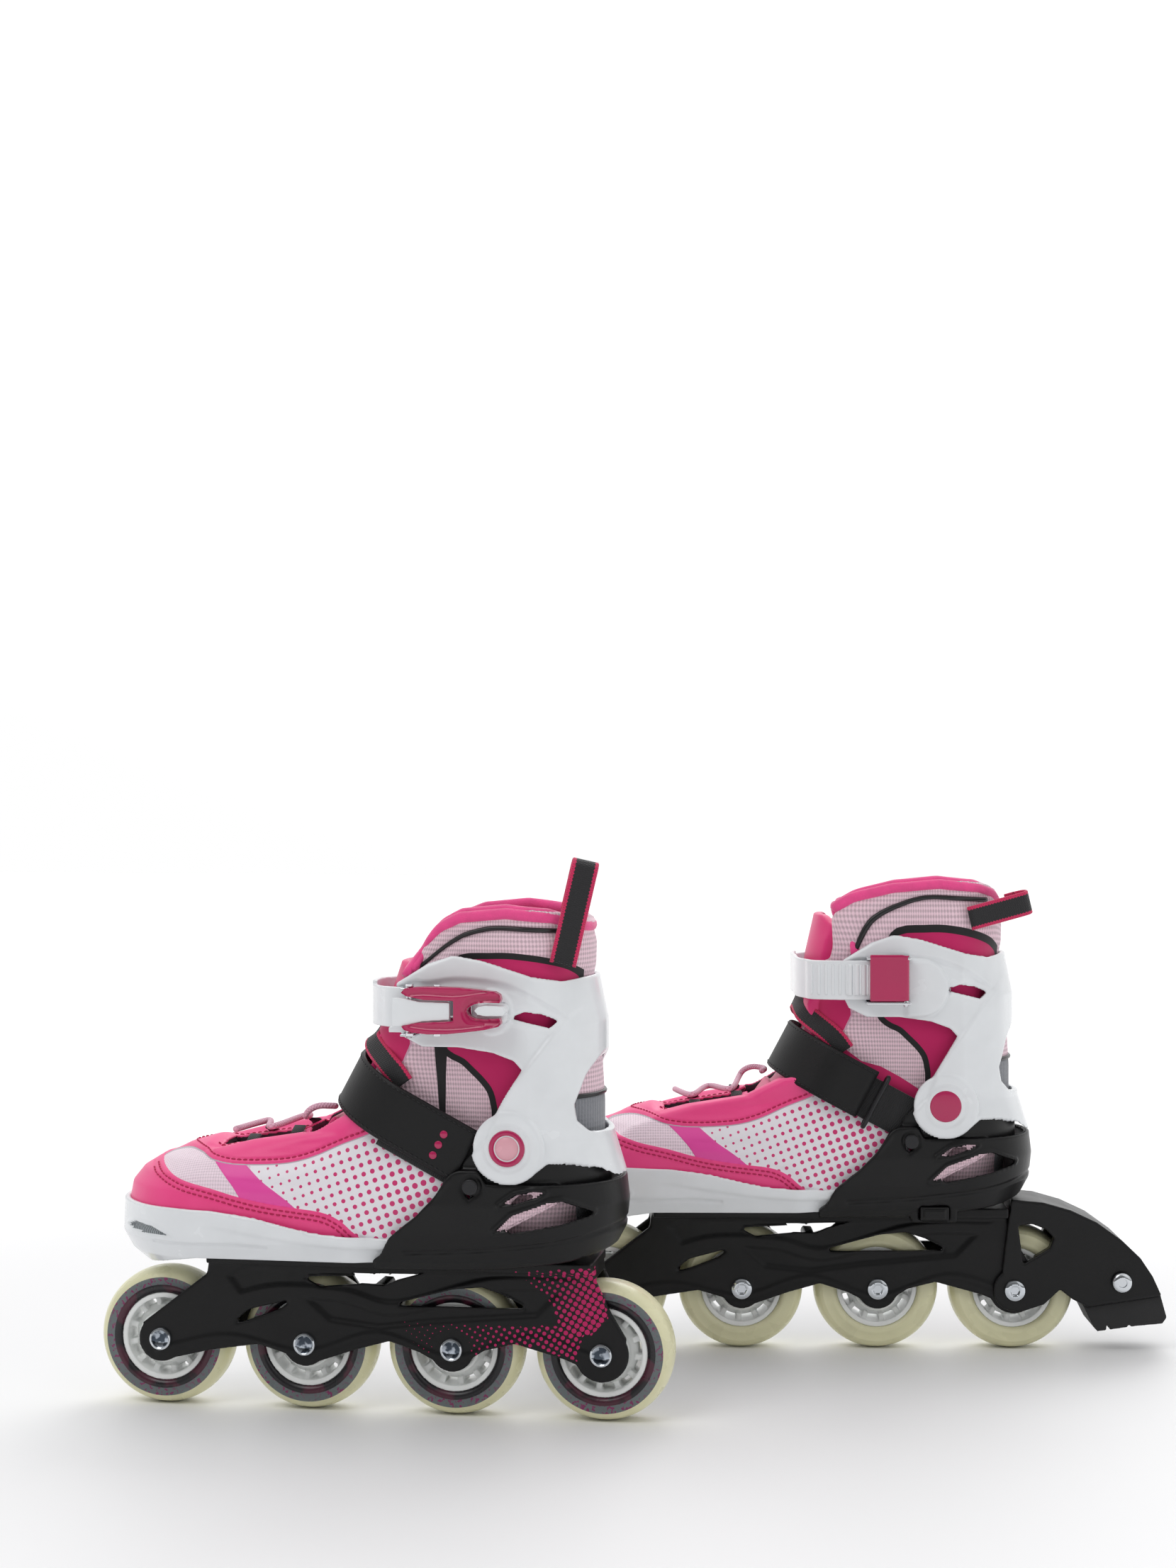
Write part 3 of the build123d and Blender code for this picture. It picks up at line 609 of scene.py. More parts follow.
def tyre_finish():
    """Cast urethane with two printed rings on its outer side."""
    finish = Finish("tyre", rgb(234, 231, 192), 0.28, Subsurface_Weight=0.12,
                    Subsurface_Scale=0.004, Subsurface_Radius=(1.0, 0.95, 0.7))
    radius, outer = finish.value("radius"), finish.value("outer")
    squiggles = finish.step(finish.noise(0.55, 3.0), 0.575, 0.02)
    broad = finish.step(finish.noise(0.05, 1.0), 0.52, 0.06)
    prints = finish.math("MULTIPLY", squiggles, finish.math("ADD", broad, 0.35))
    ring = finish.mix(prints, rgb(106, 114, 116), rgb(132, 48, 96))
    patches = finish.step(finish.noise(0.07, 2.0), 0.56, 0.05)
    inner = finish.mix(patches, rgb(30, 28, 32), rgb(78, 34, 50))
    for edge, colour in ((31.2, ring), (27.2, inner)):
        within = finish.math("SUBTRACT", 1.0, finish.step(radius, edge, 0.15))
        finish.paint(finish.math("MULTIPLY", outer, within), colour)
    return finish.raise_by(finish.noise(0.9), 0.03).vary(0.06, 0.08).done()


def frame_finish():
    """Black moulding with a print of dots that fade out forwards."""
    finish = Finish("frame_plastic", BLACK, 0.38, Specular_IOR_Level=0.3)
    finish.paint(finish.dots(finish.value("print"), 3.1, 30), rgb(196, 30, 100))
    return finish.raise_by(finish.noise(1.6), 0.05).vary(0.05, 0.08).done()


def lace_finish():
    """Braided cord: waves along it crossed with waves round it. The braid's grooves get painted
    shade.
    """
    finish = Finish("lace_braid", CORD_PINK, 0.8, Sheen_Weight=0.3)
    round_it = finish.math("SINE", finish.math("MULTIPLY", finish.value("turn"), 4.0))
    braid = finish.math("MULTIPLY", finish.wave(finish.value("along"), 1.5), round_it)
    # painted shade: the colour is darkened in the braid's grooves
    return finish.raise_by(braid, 0.22).shade(braid, -1.0, dark=0.72).done()


def vent_finish():
    """Fine slanted hatching in the toe's side vents, with painted shade in its sunken lines."""
    finish = Finish("vent_mesh", rgb(176, 182, 186), 0.5)
    at, height = (finish.node("SeparateXYZ", {0: finish.flat()}, output=k) for k in (0, 1))
    lines = finish.wave(finish.math("ADD", at, finish.math("MULTIPLY", height, 0.6)), 1.3)
    # painted shade: the sunken lines of the hatching are painted dark
    finish.paint(finish.step(lines, 0.1, 0.3), rgb(96, 102, 106))
    return finish.raise_by(lines, -0.15).done()


WHITE_PLASTIC = plastic("white_plastic", WHITE, 0.24, 0.015, Coat_Weight=0.25, Coat_Roughness=0.1)
HUB_PLASTIC = plastic("hub_plastic", rgb(246, 248, 246), 0.35)
BLACK_PLASTIC = plastic("black_plastic", BLACK, 0.36, 0.04, Specular_IOR_Level=0.3)
MAGENTA_PLASTIC = plastic("magenta_plastic", DEEP_MAGENTA, 0.22, 0.01, Coat_Weight=0.3)
PINK_PLASTIC = plastic("pink_plastic", rgb(232, 172, 184), 0.25, 0.01)
STEEL = plastic("steel", rgb(214, 218, 222), 0.12, 0.01, Metallic=1.0)
CHROME = plastic("chrome", rgb(215, 216, 220), 0.1, 0.005, Metallic=1.0)
DARK_METAL = plastic("dark_metal", rgb(48, 48, 50), 0.35, 0.02, Metallic=0.6)
RUBBER = plastic("brake_rubber", rgb(34, 34, 35), 0.7, 0.08)
THREAD = plastic("thread", rgb(188, 26, 86), 0.6, 0.05)
DARK_THREAD = plastic("dark_thread", rgb(24, 24, 26), 0.5, 0.05)
PIPING_BLACK = plastic("piping_black", rgb(26, 26, 28), 0.32, 0.04)
SYNTHETIC = plastic("synthetic", rgb(232, 44, 122), 0.42, 0.06, Sheen_Weight=0.15)
BLACK_WEBBING = webbing_finish("black_webbing", rgb(30, 30, 32))
EDGED_WEBBING = webbing_finish("edged_webbing", rgb(32, 31, 34), rgb(226, 36, 98))
PLUSH_CLOTH = plush_finish()
AXLE_STEEL = axle_finish()
TYRE, FRAME_BLACK, UPPER, LINER = tyre_finish(), frame_finish(), upper_finish(), liner_finish()
LACE, STRAP, VENT = lace_finish(), strap_finish(), vent_finish()
VENT_CLOTH = weave(Finish("vent_cloth", PALE_PINK, 0.85), 2.8, 0.2, 0.7).done()
INSOLE = weave(Finish("insole_cloth", rgb(92, 92, 98), 0.9), 3.0, 0.15).done()


# ---- placing ----
def place(name, shape, body, finishes, replaces=(), sharp=None, pair=PAIR):
    """Puts a shape on each skate as one piece, joined to body. Where body is two (body, point)
    pairs, the piece is joined to neither and stays where it is made.
    """
    made = []
    finishes = finishes if isinstance(finishes, (list, tuple)) else [finishes]
    for skate in pair:
        mesh = bpy.data.meshes.new(skate.name(name))
        turn = np.array(skate.to_row)
        points = shape.points @ turn[:3, :3].T + turn[:3, 3]
        faces = [face[::-1] for face in shape.faces] if skate.mirrored else shape.faces
        mesh.from_pydata(points.tolist(), [], faces)
        flat = mesh.attributes.new("flat", "FLOAT_VECTOR", "POINT")
        flat.data.foreach_set("vector", shape.points[:, [0, 2, 1]].astype(np.float32).ravel())
        for key, numbers in shape.values.items():
            value = mesh.attributes.new(key, "FLOAT", "POINT")
            value.data.foreach_set("value", np.asarray(numbers, np.float32))
        for finish in finishes:
            mesh.materials.append(finish)
        if shape.slots is not None:
            mesh.polygons.foreach_set("material_index", np.array(shape.slots, np.int32))
        mesh.shade_smooth()
        if sharp:
            mesh.set_sharp_from_angle(angle=math.radians(sharp))
        piece = bpy.data.objects.new(skate.name(name), mesh)
        bpy.context.scene.collection.objects.link(piece)
        if isinstance(body, tuple):
            (one, start), (two, end) = body
            skate.name(one)
            skate.name(two)
            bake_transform(piece)
        else:
            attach(piece, skate.name(body))
        if replaces:
            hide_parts(*[skate.name(node) for node in replaces])
        made.append(piece)
    return made


ANKLE_BEND = (("chassis", (74, 0, 150)), ("cuff", (74, 0, 200)))
TONGUE_BEND = (("chassis", (74, 0, 174)), ("cuff", (74, 0, 212)))


# ---- measures taken from the frame ----
def local(point):
    """A row-frame point in the left skate's millimetres."""
    return LEFT.to_row.inverted() @ Vector(point)


AXLES_X = [local(JOINTS[f"left_wheel_{n}_spin"]["pos_m"]).x for n in (1, 2, 3, 4)]
WHEEL_R = local(JOINTS["left_wheel_1_spin"]["pos_m"]).z
PIVOT = local(JOINTS["left_cuff_flex"]["pos_m"])
RAIL_OUT = 16.5           # outer face of a frame rail
BRAKE_OUT = 20.0          # outer face of the brake's clamp


def brick(x, y, z):
    """Cuboid from three (low, high) pairs."""
    points = [(a, b, c) for a in x for b in y for c in z]
    faces = [(0, 1, 3, 2), (4, 6, 7, 5), (0, 4, 5, 1), (2, 3, 7, 6), (0, 2, 6, 4), (1, 5, 7, 3)]
    return Shape(points, faces)


def slab(outline, y_low, y_high):
    """Flat plate with a side-view outline, between two y levels."""
    outline = [tuple(at) for at in outline]
    area = sum(a[0] * b[1] - b[0] * a[1] for a, b in zip(outline, outline[1:] + outline[:1]))
    outline = outline if area > 0 else outline[::-1]
    count = len(outline)
    points = [(x, y_low, z) for x, z in outline] + [(x, y_high, z) for x, z in outline]
    faces = [tuple(range(count)), tuple(range(2 * count - 1, count - 1, -1))]
    faces += [(n, n + count, (n + 1) % count + count, (n + 1) % count) for n in range(count)]
    return Shape(points, faces)


def upright(shape):
    """A turned shape stood up, so that its axis runs along Z."""
    return shape.mapped(lambda p: np.stack([p[:, 0], -p[:, 2], p[:, 1]], 1))


def turned(shape, degrees, x=0.0, z=0.0):
    """The shape turned round an axis along Y through (x, z)."""
    c, s = math.cos(math.radians(degrees)), math.sin(math.radians(degrees))
    turn = np.array([[c, 0, s], [0, 1, 0], [-s, 0, c]])
    at = np.array([x, 0, z])
    return shape.mapped(lambda p: (p - at) @ turn.T + at)


# ---- wheels ----
def make_wheels():
    crown = [tuple(p) for p in curve([(31.3, 11.45), (33.6, 9.7), (35.5, 5.4), (36.0, 0.0)], 5)]
    half = [(23.2, 10.7), (26.9, 11.3), (27.2, 11.1), (31.0, 11.5), *crown]
    profile = half + [(r, -y) for r, y in half[-2::-1]]
    tyre = lathe(profile + [profile[0]], 96)
    tyre.values["radius"] = np.hypot(tyre.points[:, 0], tyre.points[:, 2])
    tyre.values["outer"] = ease(-tyre.points[:, 1], 1.0, 3.0)

    rim = lathe([(20.2, -10.3), (23.1, -10.3), (23.1, 10.3), (20.2, 10.3), (20.2, -10.3)])
    barrel = lathe([(10.9, -11.9), (13.4, -11.9), (13.4, 11.9), (10.9, 11.9), (10.9, -11.9)])
    web = lathe([(13.0, -4.5), (17.4, -3.5), (17.4, 3.5), (13.0, 4.5), (13.0, -4.5)])
    spoke = brick((16.0, 21.4), (-7.5, 7.5), (-1.5, 1.5))
    hub = moulded(rim.join(barrel, web, *[turned(spoke, 30 * k) for k in range(12)]), 0.6, 5)

    side = [(4.1, 5.2), (4.1, 11.9), (6.1, 11.9), (6.3, 11.5), (9.4, 11.5), (9.6, 11.9),
            (10.8, 11.9), (10.8, 5.2), (4.1, 5.2)]
    bearing = lathe(side, 40)
    bearings = bearing.join(bearing.mirrored())
    for number, x in enumerate(AXLES_X, 1):
        at = dict(x=x, z=WHEEL_R)
        body = f"wheel_{number}"
        place(f"tyre_{number}_cast", turned(tyre, 37 * number).moved(**at), body, TYRE,
              [f"tyre_{number}"])
        place(f"hub_{number}_moulded", turned(hub, 17 * number).moved(**at), body, HUB_PLASTIC,
              [f"hub_{number}"])
        place(f"bearings_{number}", bearings.moved(**at), body, STEEL, sharp=30)


def make_axles():
    def hexagon(points):
        radius = np.hypot(points[:, 0], points[:, 2])
        angle = np.degrees(np.arctan2(points[:, 2], points[:, 0])) % 60 - 30
        scale = np.where(radius < 2.75, math.cos(math.pi / 6) / np.cos(np.radians(angle)), 1.0)
        return points * np.stack([scale, np.ones_like(scale), scale], 1)

    def axle(face):
        near = [(0, 0.9), (3.0, 1.1), (4.3, 1.5), (4.9, 2.0), (5.6, 1.8), (6.0, 1.2), (6.0, 0),
                (3.9, 0)]
        far = [(3.9, 0), (6.2, 0), (6.2, 1.0), (5.7, 1.8), (4.4, 2.3), (2.9, 2.35), (2.7, 2.1),
               (2.7, 0.9), (0, 0.9)]
        cap = lathe([(r, -face - y) for r, y in near] + [(r, face + y) for r, y in far], 48)
        radius = np.hypot(cap.points[:, 0], cap.points[:, 2])
        # the head's dish, where the steel gets its painted reflection
        cap.values["dish"] = np.where(cap.points[:, 1] < 0, 4.6 - radius, -1.0)
        return cap.mapped(hexagon)

    for skate, faces in ((LEFT, [RAIL_OUT] * 4), (RIGHT, [RAIL_OUT] * 3 + [BRAKE_OUT])):
        heads = [axle(face).moved(x=x, z=WHEEL_R) for x, face in zip(AXLES_X, faces)]
        place("axle_bolts", joined(heads), "chassis", AXLE_STEEL, ["axles"],
              sharp=35, pair=(skate,))


# ---- chassis mouldings ----
def emboss(shape, amount, mask=1.0):
    """Moves each point along its normal by amount millimetres."""
    shape.points = shape.points + shape.normals() * (amount * mask)[:, None]
    return shape


def cut(shape, cutter):
    """The shape without what lies inside the cutter."""
    mesh = bpy.data.meshes.new("cutter")
    mesh.from_pydata(cutter.points.tolist(), [], cutter.faces)
    tool = bpy.data.objects.new("cutter", mesh)
    bpy.context.scene.collection.objects.link(tool)
    made = with_modifiers(shape, ("BOOLEAN", {"operation": "DIFFERENCE", "object": tool,
                                              "solver": "MANIFOLD"}))
    bpy.data.objects.remove(tool)
    bpy.data.meshes.remove(mesh)
    return made


NEAR_GAP = [(-13.7, 73.6), (20.5, 74.2), (24.0, 74.6), (10.0, 70.6), (3.0, 67.6), (-9.6, 68.2)]
FAR_GAP = [(-22.4, 68.0), (17.8, 68.7), (13.0, 64.6), (-2.0, 61.0), (-18.2, 61.6)]


def make_frame():
    whole = cad_moulded("frame", 0.85, 6)
    for skate in PAIR:
        near, far = slab(NEAR_GAP, -30, 9), slab(FAR_GAP, 8, 30)
        if skate is RIGHT:
            near, far = near.mirrored(), far.mirrored()
        dress_frame(cut(cut(whole, near), far), skate)


def dress_frame(rails, skate):
    at = side_view(rails)
    flank = ease(np.abs(rails.normals()[:, 1]), 0.6, 0.9)
    flank *= ease(np.abs(rails.points[:, 1]), 14.8, 16)
    # a sunken web with a rib across it, and a lip along the rail's lower edge
    web = [(-82, 71), (-72, 58), (-42, 62), (-26, 48), (0, 45), (30, 49), (84, 54), (106, 76),
           (60, 77), (20, 76), (-70, 77)]
    sunk = ease(inset_depth(at, web), -0.5, 3.0)
    rib = curve([(-100, 47), (-60, 62), (-20, 62), (10, 56), (60, 70), (108, 71)])
    sunk *= 1 - beside(at, rib, 4.5, 2.5)
    lower = curve([(-118, 30), (-80, 38), (-39, 31), (0, 42), (39, 31), (80, 43), (117, 33)])
    lip = beside(at, lower, 3.0, 1.0)
    emboss(rails, -1.1 * sunk + 0.5 * lip, flank)
    # the printed dots fill the rail's rear end and fade out forwards along its edge
    rear = inset_depth(at, [(72, 79), (114, 82), (121, 55), (112, 46), (97, 44), (91, 62)])
    rear_size = 0.22 + 0.26 * ease(at[:, 0] - 0.25 * at[:, 1], 60, 98)
    trail = inset_depth(at, [(10, 50), (60, 49), (93, 50), (108, 48), (104, 32), (82, 39),
                             (55, 31), (24, 33)])
    trail_size = 0.10 + 0.28 * ease(at[:, 0], 10, 100)
    size = np.maximum(np.where(rear > 0, rear_size, 0), np.where(trail > 0, trail_size, 0))
    clear = np.min([np.hypot(at[:, 0] - x, at[:, 1] - WHEEL_R) for x in AXLES_X], 0) > 10.5
    rails.values["print"] = np.where((rails.points[:, 1] < -12) & clear, size, 0.0) - 0.04
    place("frame_moulding", rails, "chassis", FRAME_BLACK, ["frame"],
          pair=(skate,))


SHELL_VENTS = ([(66.4, 102.1), (75.4, 110.6), (93.2, 117.4), (101.2, 118.0), (115.0, 112.3),
                (103.1, 108.1), (79.4, 102.9)],
               [(69.8, 115.6), (77.4, 121.0), (87.3, 123.2), (92.5, 122.6), (88.3, 120.0),
                (77.4, 117.1)])


def make_heel_shell():
    shell = cad_moulded("heel_shell", 0.9)
    p = shell.points
    # the shell's ears stand higher than the CAD's, and its lower front edge lies further back
    ear = ease(p[:, 0], 34, 50) * ease(62 - p[:, 0], -1, 4) * ease(p[:, 2], 112, 126)
    p[:, 2] += 6.5 * ear * ease(np.abs(p[:, 1]), 36, 42)
    front = ease(-p[:, 0], -16, 4) * ease(-p[:, 2], -106, -88)
    p[:, 0] += 8.5 * front * ease(np.abs(p[:, 1]), 24, 34)
    at = side_view(shell)
    outer = outward(shell, (60, 0))
    relief = np.zeros(len(at))
    for vent in SHELL_VENTS:
        depth = inset_depth(at, vent)
        relief += 0.9 * ease(depth, -2.6, -1.2) - 2.2 * ease(depth, -0.5, 0.5)
    # a raised front edge, a groove round the heel and a ring round the rivet
    edge = curve([(-6, 90), (10, 98), (28, 113), (42, 128)])
    relief += 0.7 * beside(at, edge, 3.0, 1.6)
    belt = curve([(20, 90), (60, 92), (100, 97), (128, 104)])
    relief -= 0.7 * beside(at, belt, 1.6, 0.5)
    rivet = 4.8 - np.hypot(at[:, 0] - 55.0, at[:, 1] - 125.0)
    relief -= 0.8 * ease(-np.abs(rivet), -1.0, -0.1)
    emboss(shell, relief, outer)
    shell.slots_by(lambda middle: (np.abs(middle[:, 1]) > 36) & (np.max(
        [inset_depth(middle[:, [0, 2]], vent) for vent in SHELL_VENTS], 0) > 0.35))
    shell.cloth(*at.T)
    place("heel_shell_moulding", shell, "chassis", [BLACK_PLASTIC, VENT_CLOTH],
          ["heel_shell"])


def outward(shape, centre):
    """1 on the outside of a shell that goes round an upright axis, 0 on its inside."""
    away = shape.points[:, :2] - np.array(centre)
    return ease((shape.normals()[:, :2] * unit(away)).sum(1), 0.05, 0.35)


def make_small_chassis_parts():
    button = cad_moulded("size_button", 0.45, 5)
    place("size_button_moulding", button, "size_button", BLACK_PLASTIC,
          ["size_button"])
    for skate in PAIR:
        bolts = cad_moulded("bolts", 0.5, 4, skate)
        # the shell's two rivets sit as high as the raised ears
        rivets = (bolts.points[:, 2] > 108) & (bolts.points[:, 0] < 66)
        bolts.points[rivets] += (1.0, 0, 6.0)
        bolts.points[rivets, 1] += np.sign(bolts.points[rivets, 1]) * 0.4
        place("boot_bolts", bolts, "chassis", DARK_METAL, ["bolts"],
              pair=(skate,))
    sole = cad_moulded("insole", 1.0, 10)
    sole.cloth(sole.points[:, 0], sole.points[:, 1])
    place("insole_pad", sole, "chassis", INSOLE, ["insole"])


# ---- toe: tray and upper ----
TOE_VENT = [(-131, 98.0), (-125, 100.6), (-114, 99.8), (-103, 95.6), (-114, 95.2), (-127, 96.6)]


def make_toe_base():
    tray = cad_moulded("toe_base", 0.8)
    # the tray's side walls run on under the heel shell and taper towards it
    sides = ease(np.abs(tray.points[:, 1]), 28, 34)
    tray.points[:, 0] += np.clip(tray.points[:, 0] + 20, 0, 14) * 1.46 * sides
    tray.points[:, 1] *= 1 - 0.085 * ease(tray.points[:, 0], -10, 4)
    at = side_view(tray)
    outer = hull_outward(tray)
    groove = curve([(-112, 92), (-95, 91.2), (-70, 91.5), (-52, 90.5)])
    relief = -0.7 * beside(at, groove, 1.5, 0.3)
    crease = curve([(-80, 101), (-56, 97), (-30, 93.5), (4, 91)])
    above = at[:, 1] - np.interp(at[:, 0], *crease.T)
    relief += 0.9 * ease(above, -1.5, 1.0) * ease(at[:, 0], -95, -60)
    vent = inset_depth(at, TOE_VENT)
    relief -= 1.3 * ease(vent, -0.2, 0.9)
    relief += 0.4 * ease(vent, -2.2, -0.8) * (1 - ease(vent, -0.6, 0.0))
    emboss(tray, relief, outer * ease(np.abs(tray.points[:, 1]), 8, 14))
    tray.slots_by(lambda middle: (np.abs(middle[:, 1]) > 12)
                  & (inset_depth(middle[:, [0, 2]], TOE_VENT) > 0.15))
    place("toe_tray", tray, "toe", [WHITE_PLASTIC, VENT], ["toe_base"])


def hull_outward(shape):
    """1 on the outside of the toe's shells, 0 on their inside."""
    p = shape.points
    centre = np.stack([np.clip(p[:, 0], -100, 60), np.zeros(len(p)), np.full(len(p), 106.0)], 1)
    return ease((shape.normals() * unit(p - centre)).sum(1), 0.0, 0.3)


CAP_EDGE = [(-119, 132), (-112, 128.5), (-98, 123.5), (-82, 120), (-67, 116), (-52, 113),
            (-37, 111), (-23, 109), (-14, 105), (-7, 99), (3, 92)]
EYESTAY_EDGE = [(-119, 130.5), (-112, 134.0), (-101, 136.6), (-91, 136.0), (-82, 133.4), (-68, 132),
                (-45, 133), (-30, 136.5), (-15, 143), (0, 149), (14, 157)]
STRIPE_FRONT = [(-84, 135), (-77, 128.5), (-70, 121), (-64, 112)]
STRIPE_REAR = [(-36, 110), (-44, 116.5), (-55, 124), (-67, 134)]
QUARTER_EDGE = [(-64, 100), (-60, 112), (-68, 121), (-76, 130), (-80, 150)]


def make_upper():
    skin = cad_moulded("upper", 0.8, 14)
    p = skin.points
    # the edges of the throat lie lower than the CAD's
    throat = ease(p[:, 0], -92, -80) * ease(-p[:, 0], 22, 34) * ease(-np.abs(p[:, 1]), -27, -18)
    p[:, 2] -= 4.2 * throat * ease(p[:, 2], 128, 136)
    at = side_view(skin)
    outer = hull_outward(skin)
    cap_line, stay_line = curve(CAP_EDGE), curve(EYESTAY_EDGE)
    cap = inset_depth(at, [(-150, 60), (-150, 134), (-120, 135), *cap_line, (0, 60)])
    stay = inset_depth(at, [(-150, 200), (-150, 136), (-120, 134), *stay_line, (40, 170),
                            (40, 200)])
    stripe = inset_depth(at, [(-86, 139), *curve(STRIPE_FRONT), (-60, 100), (-28, 100),
                              *curve(STRIPE_REAR), (-68, 139)])
    quarter = np.where(at[:, 0] > -62, 1.0, -1.0) * line_distance(at, curve(QUARTER_EDGE))
    coated = np.maximum(cap, stay)
    rows = [shifted(cap_line, 2.3), shifted(cap_line, 4.6), shifted(stay_line, -2.2)]
    seams = np.min([line_distance(at, row) for row in rows], 0)
    # coated panels stand proud, seams are pulled in, and the mesh swells beside them
    relief = 0.85 * ease(coated, -0.3, 0.9) + 0.3 * ease(stripe, -0.3, 0.5) * (coated < 0)
    relief -= 0.4 * ease(-seams, -1.1, 0.0) * (coated > 0)
    relief += 0.7 * np.exp(-((coated + 6) / 5) ** 2) * (coated < 0)
    emboss(skin, relief, outer)
    skin.values = {"coated": coated, "stripe": stripe, "quarter": quarter, "lining": 0.5 - outer,
                   "edge_line": 0.55 - line_distance(at, stay_line)}
    skin.cloth(skin.points[:, 0], skin.points[:, 2] - np.abs(skin.points[:, 1]))
    place("upper_shell", skin, "toe", UPPER, ["upper"])

    surface = Skin(skin)
    sewn = [stitches(*surface.side(even(row[2:], 1.5), side, 0.05))
            for side in (-1, 1) for row in rows]
    throat = [(-84.5, 13), (-82, 15.6), (-60, 15.4), (-40, 15.6)]
    for side in (-1, 1):
        row = [(x - 1.5, side * (y + 0.8)) for x, y in even(throat, 1.5)]
        sewn.append(stitches(*surface.above(row, 0.05)))
    place("upper_stitching", joined(sewn), "toe", THREAD)


def shifted(line, distance):
    """A side-view line moved down by distance, across its own direction."""
    ahead = unit(np.gradient(line, axis=0))
    return line + distance * np.stack([ahead[:, 1], -ahead[:, 0]], 1)


# ---- laces ----
LACE_R = 1.65
LACE_REACH = 15.0         # how far from the middle the lace turns back
LACE_ROWS = [(-79, 146.4), (-68, 147.4), (-57, 148.6), (-46, 150.8), (-37, 154.0)]
LACE_LOOP = [(-37, -15.6, 157.8), (-31.8, -15, 160.2), (-26.2, -12.8, 159.8), (-23.6, -8.6, 159.2),
             (-26.6, -4.6, 158.6)]


def nurbs_line(points):
    """Points along the smooth line that has these control points."""
    data = bpy.data.curves.new("route", "CURVE")
    data.dimensions = "3D"
    spline = data.splines.new("NURBS")
    spline.points.add(len(points) - 1)
    for point, at in zip(spline.points, points):
        point.co = (*at, 1)
    spline.order_u = 3
    spline.use_endpoint_u = True
    spline.resolution_u = 8
    work = bpy.data.objects.new("route", data)
    bpy.context.scene.collection.objects.link(work)
    graph = bpy.context.evaluated_depsgraph_get()
    mesh = bpy.data.meshes.new_from_object(work.evaluated_get(graph))
    line = np.array([tuple(v.co) for v in mesh.vertices])
    bpy.data.objects.remove(work)
    bpy.data.meshes.remove(mesh)
    return line


def braid(line, radius, sides=12):
    """Round cord along a line, with what its braid pattern needs."""
    made = tube(line, radius, sides)
    made.values["along"] = np.repeat(run(line), sides)
    made.values["turn"] = np.tile(2 * math.pi * np.arange(sides) / sides, len(line))
    return made


def make_eyelets():
    """Woven tabs along the throat that the lace runs through."""
    tabs = []
    for side in (-1, 1):
        for x, z in ((-66, 141.6), (-42, 146.6)):
            bend = ((20.5, -1.4), (17.5, 0.3), (13.5, 1.6))
            line = curve([(x, side * y, z + lift) for y, lift in bend], 4)
            up = np.tile([0, side * 0.25, 1], (len(line), 1))
            tabs.append(ribbon(line, up, 6.4, 1.5, 0.4, 4))
    place("eyelet_tabs", joined(tabs), "toe", BLACK_WEBBING)


def make_lace():
    route = []
    for index, (x, z) in enumerate(LACE_ROWS):
        y = LACE_REACH if index % 2 else -LACE_REACH
        route += [(x - 2.4, y, z - 0.3), (x + 2.4, y, z + 0.3)]
    line = nurbs_line(route[1:-1] + LACE_LOOP)
    cords = place("lace_cord", braid(line, LACE_R), "toe", LACE, ["lace"])


# ---- soft inner boot ----
RIM_EDGE = [(8, 226), (12, 237), (18, 246), (28, 252.5), (46, 257.5), (72, 259.8), (95, 257.5),
            (114, 251)]
PIPING = [(22, 228), (27, 235), (35, 243), (43, 248), (53, 252), (65, 254.5), (82, 254), (99, 253)]
ANKLE_PANEL = [(49, 238), (63, 239), (75, 239), (87, 237.5), (97, 235), (103, 232), (106, 227),
               (104, 212), (100, 196), (98, 170), (96, 150), (70, 146), (67, 163), (65, 172),
               (61, 178), (55, 184), (50, 188.5), (43, 192), (39, 198), (41, 215), (44, 231)]
FRONT_STRIP = [(34.5, 196), (41.5, 196), (40.5, 181), (39.5, 156), (36.5, 156), (35.8, 176)]
FRONT_PANEL = [(-20, 204), (21.5, 204), (22.4, 195.4), (18, 185.7), (14.5, 184), (-20, 196)]
VAMP = [(16, 178), (28, 169), (39, 166), (50, 160), (60, 153.5), (67, 143), (60, 140), (20, 160)]
HEEL_LINE = 169.0         # top of the grey heel patch
HEEL_PATCH_X = 105.0      # the patch lies behind this
BINDING_WIDE = 3.2        # black binding round the ankle panel
COLLAR_X = 58.0           # upright axis that the collar goes round
CRISP = 40.0              # how steeply a painted value falls where a side ends


def make_liner():
    boot = cad_moulded("liner", 1.1, 12)
    for skate in PAIR:
        dress_liner(tightened(boot, 12.0, low=200) if skate is LEFT else boot.moved(), skate)


LINER_SKIN = {}           # each liner's surface, which the tongue's webbing follows


def evened(shape, skate):
    """The left collar is pulled back on its outer side; the right one stands higher inside."""
    p = shape.points
    near = ease(p[:, 2], 231, 250) * np.clip((50 - p[:, 0]) / 30, 0, 1)
    if skate is LEFT:
        p[:, 0] += 7 * ease(-p[:, 1], 0, 12) * near
        return shape
    p[:, 0] -= 8 * ease(p[:, 1], 0, 12) * near
    lift = np.where(p[:, 1] > 0, 7.5, -3.0) * ease(np.abs(p[:, 1]), 3, 24)
    p[:, 2] += lift * ease(p[:, 2], 226, 256)
    return shape


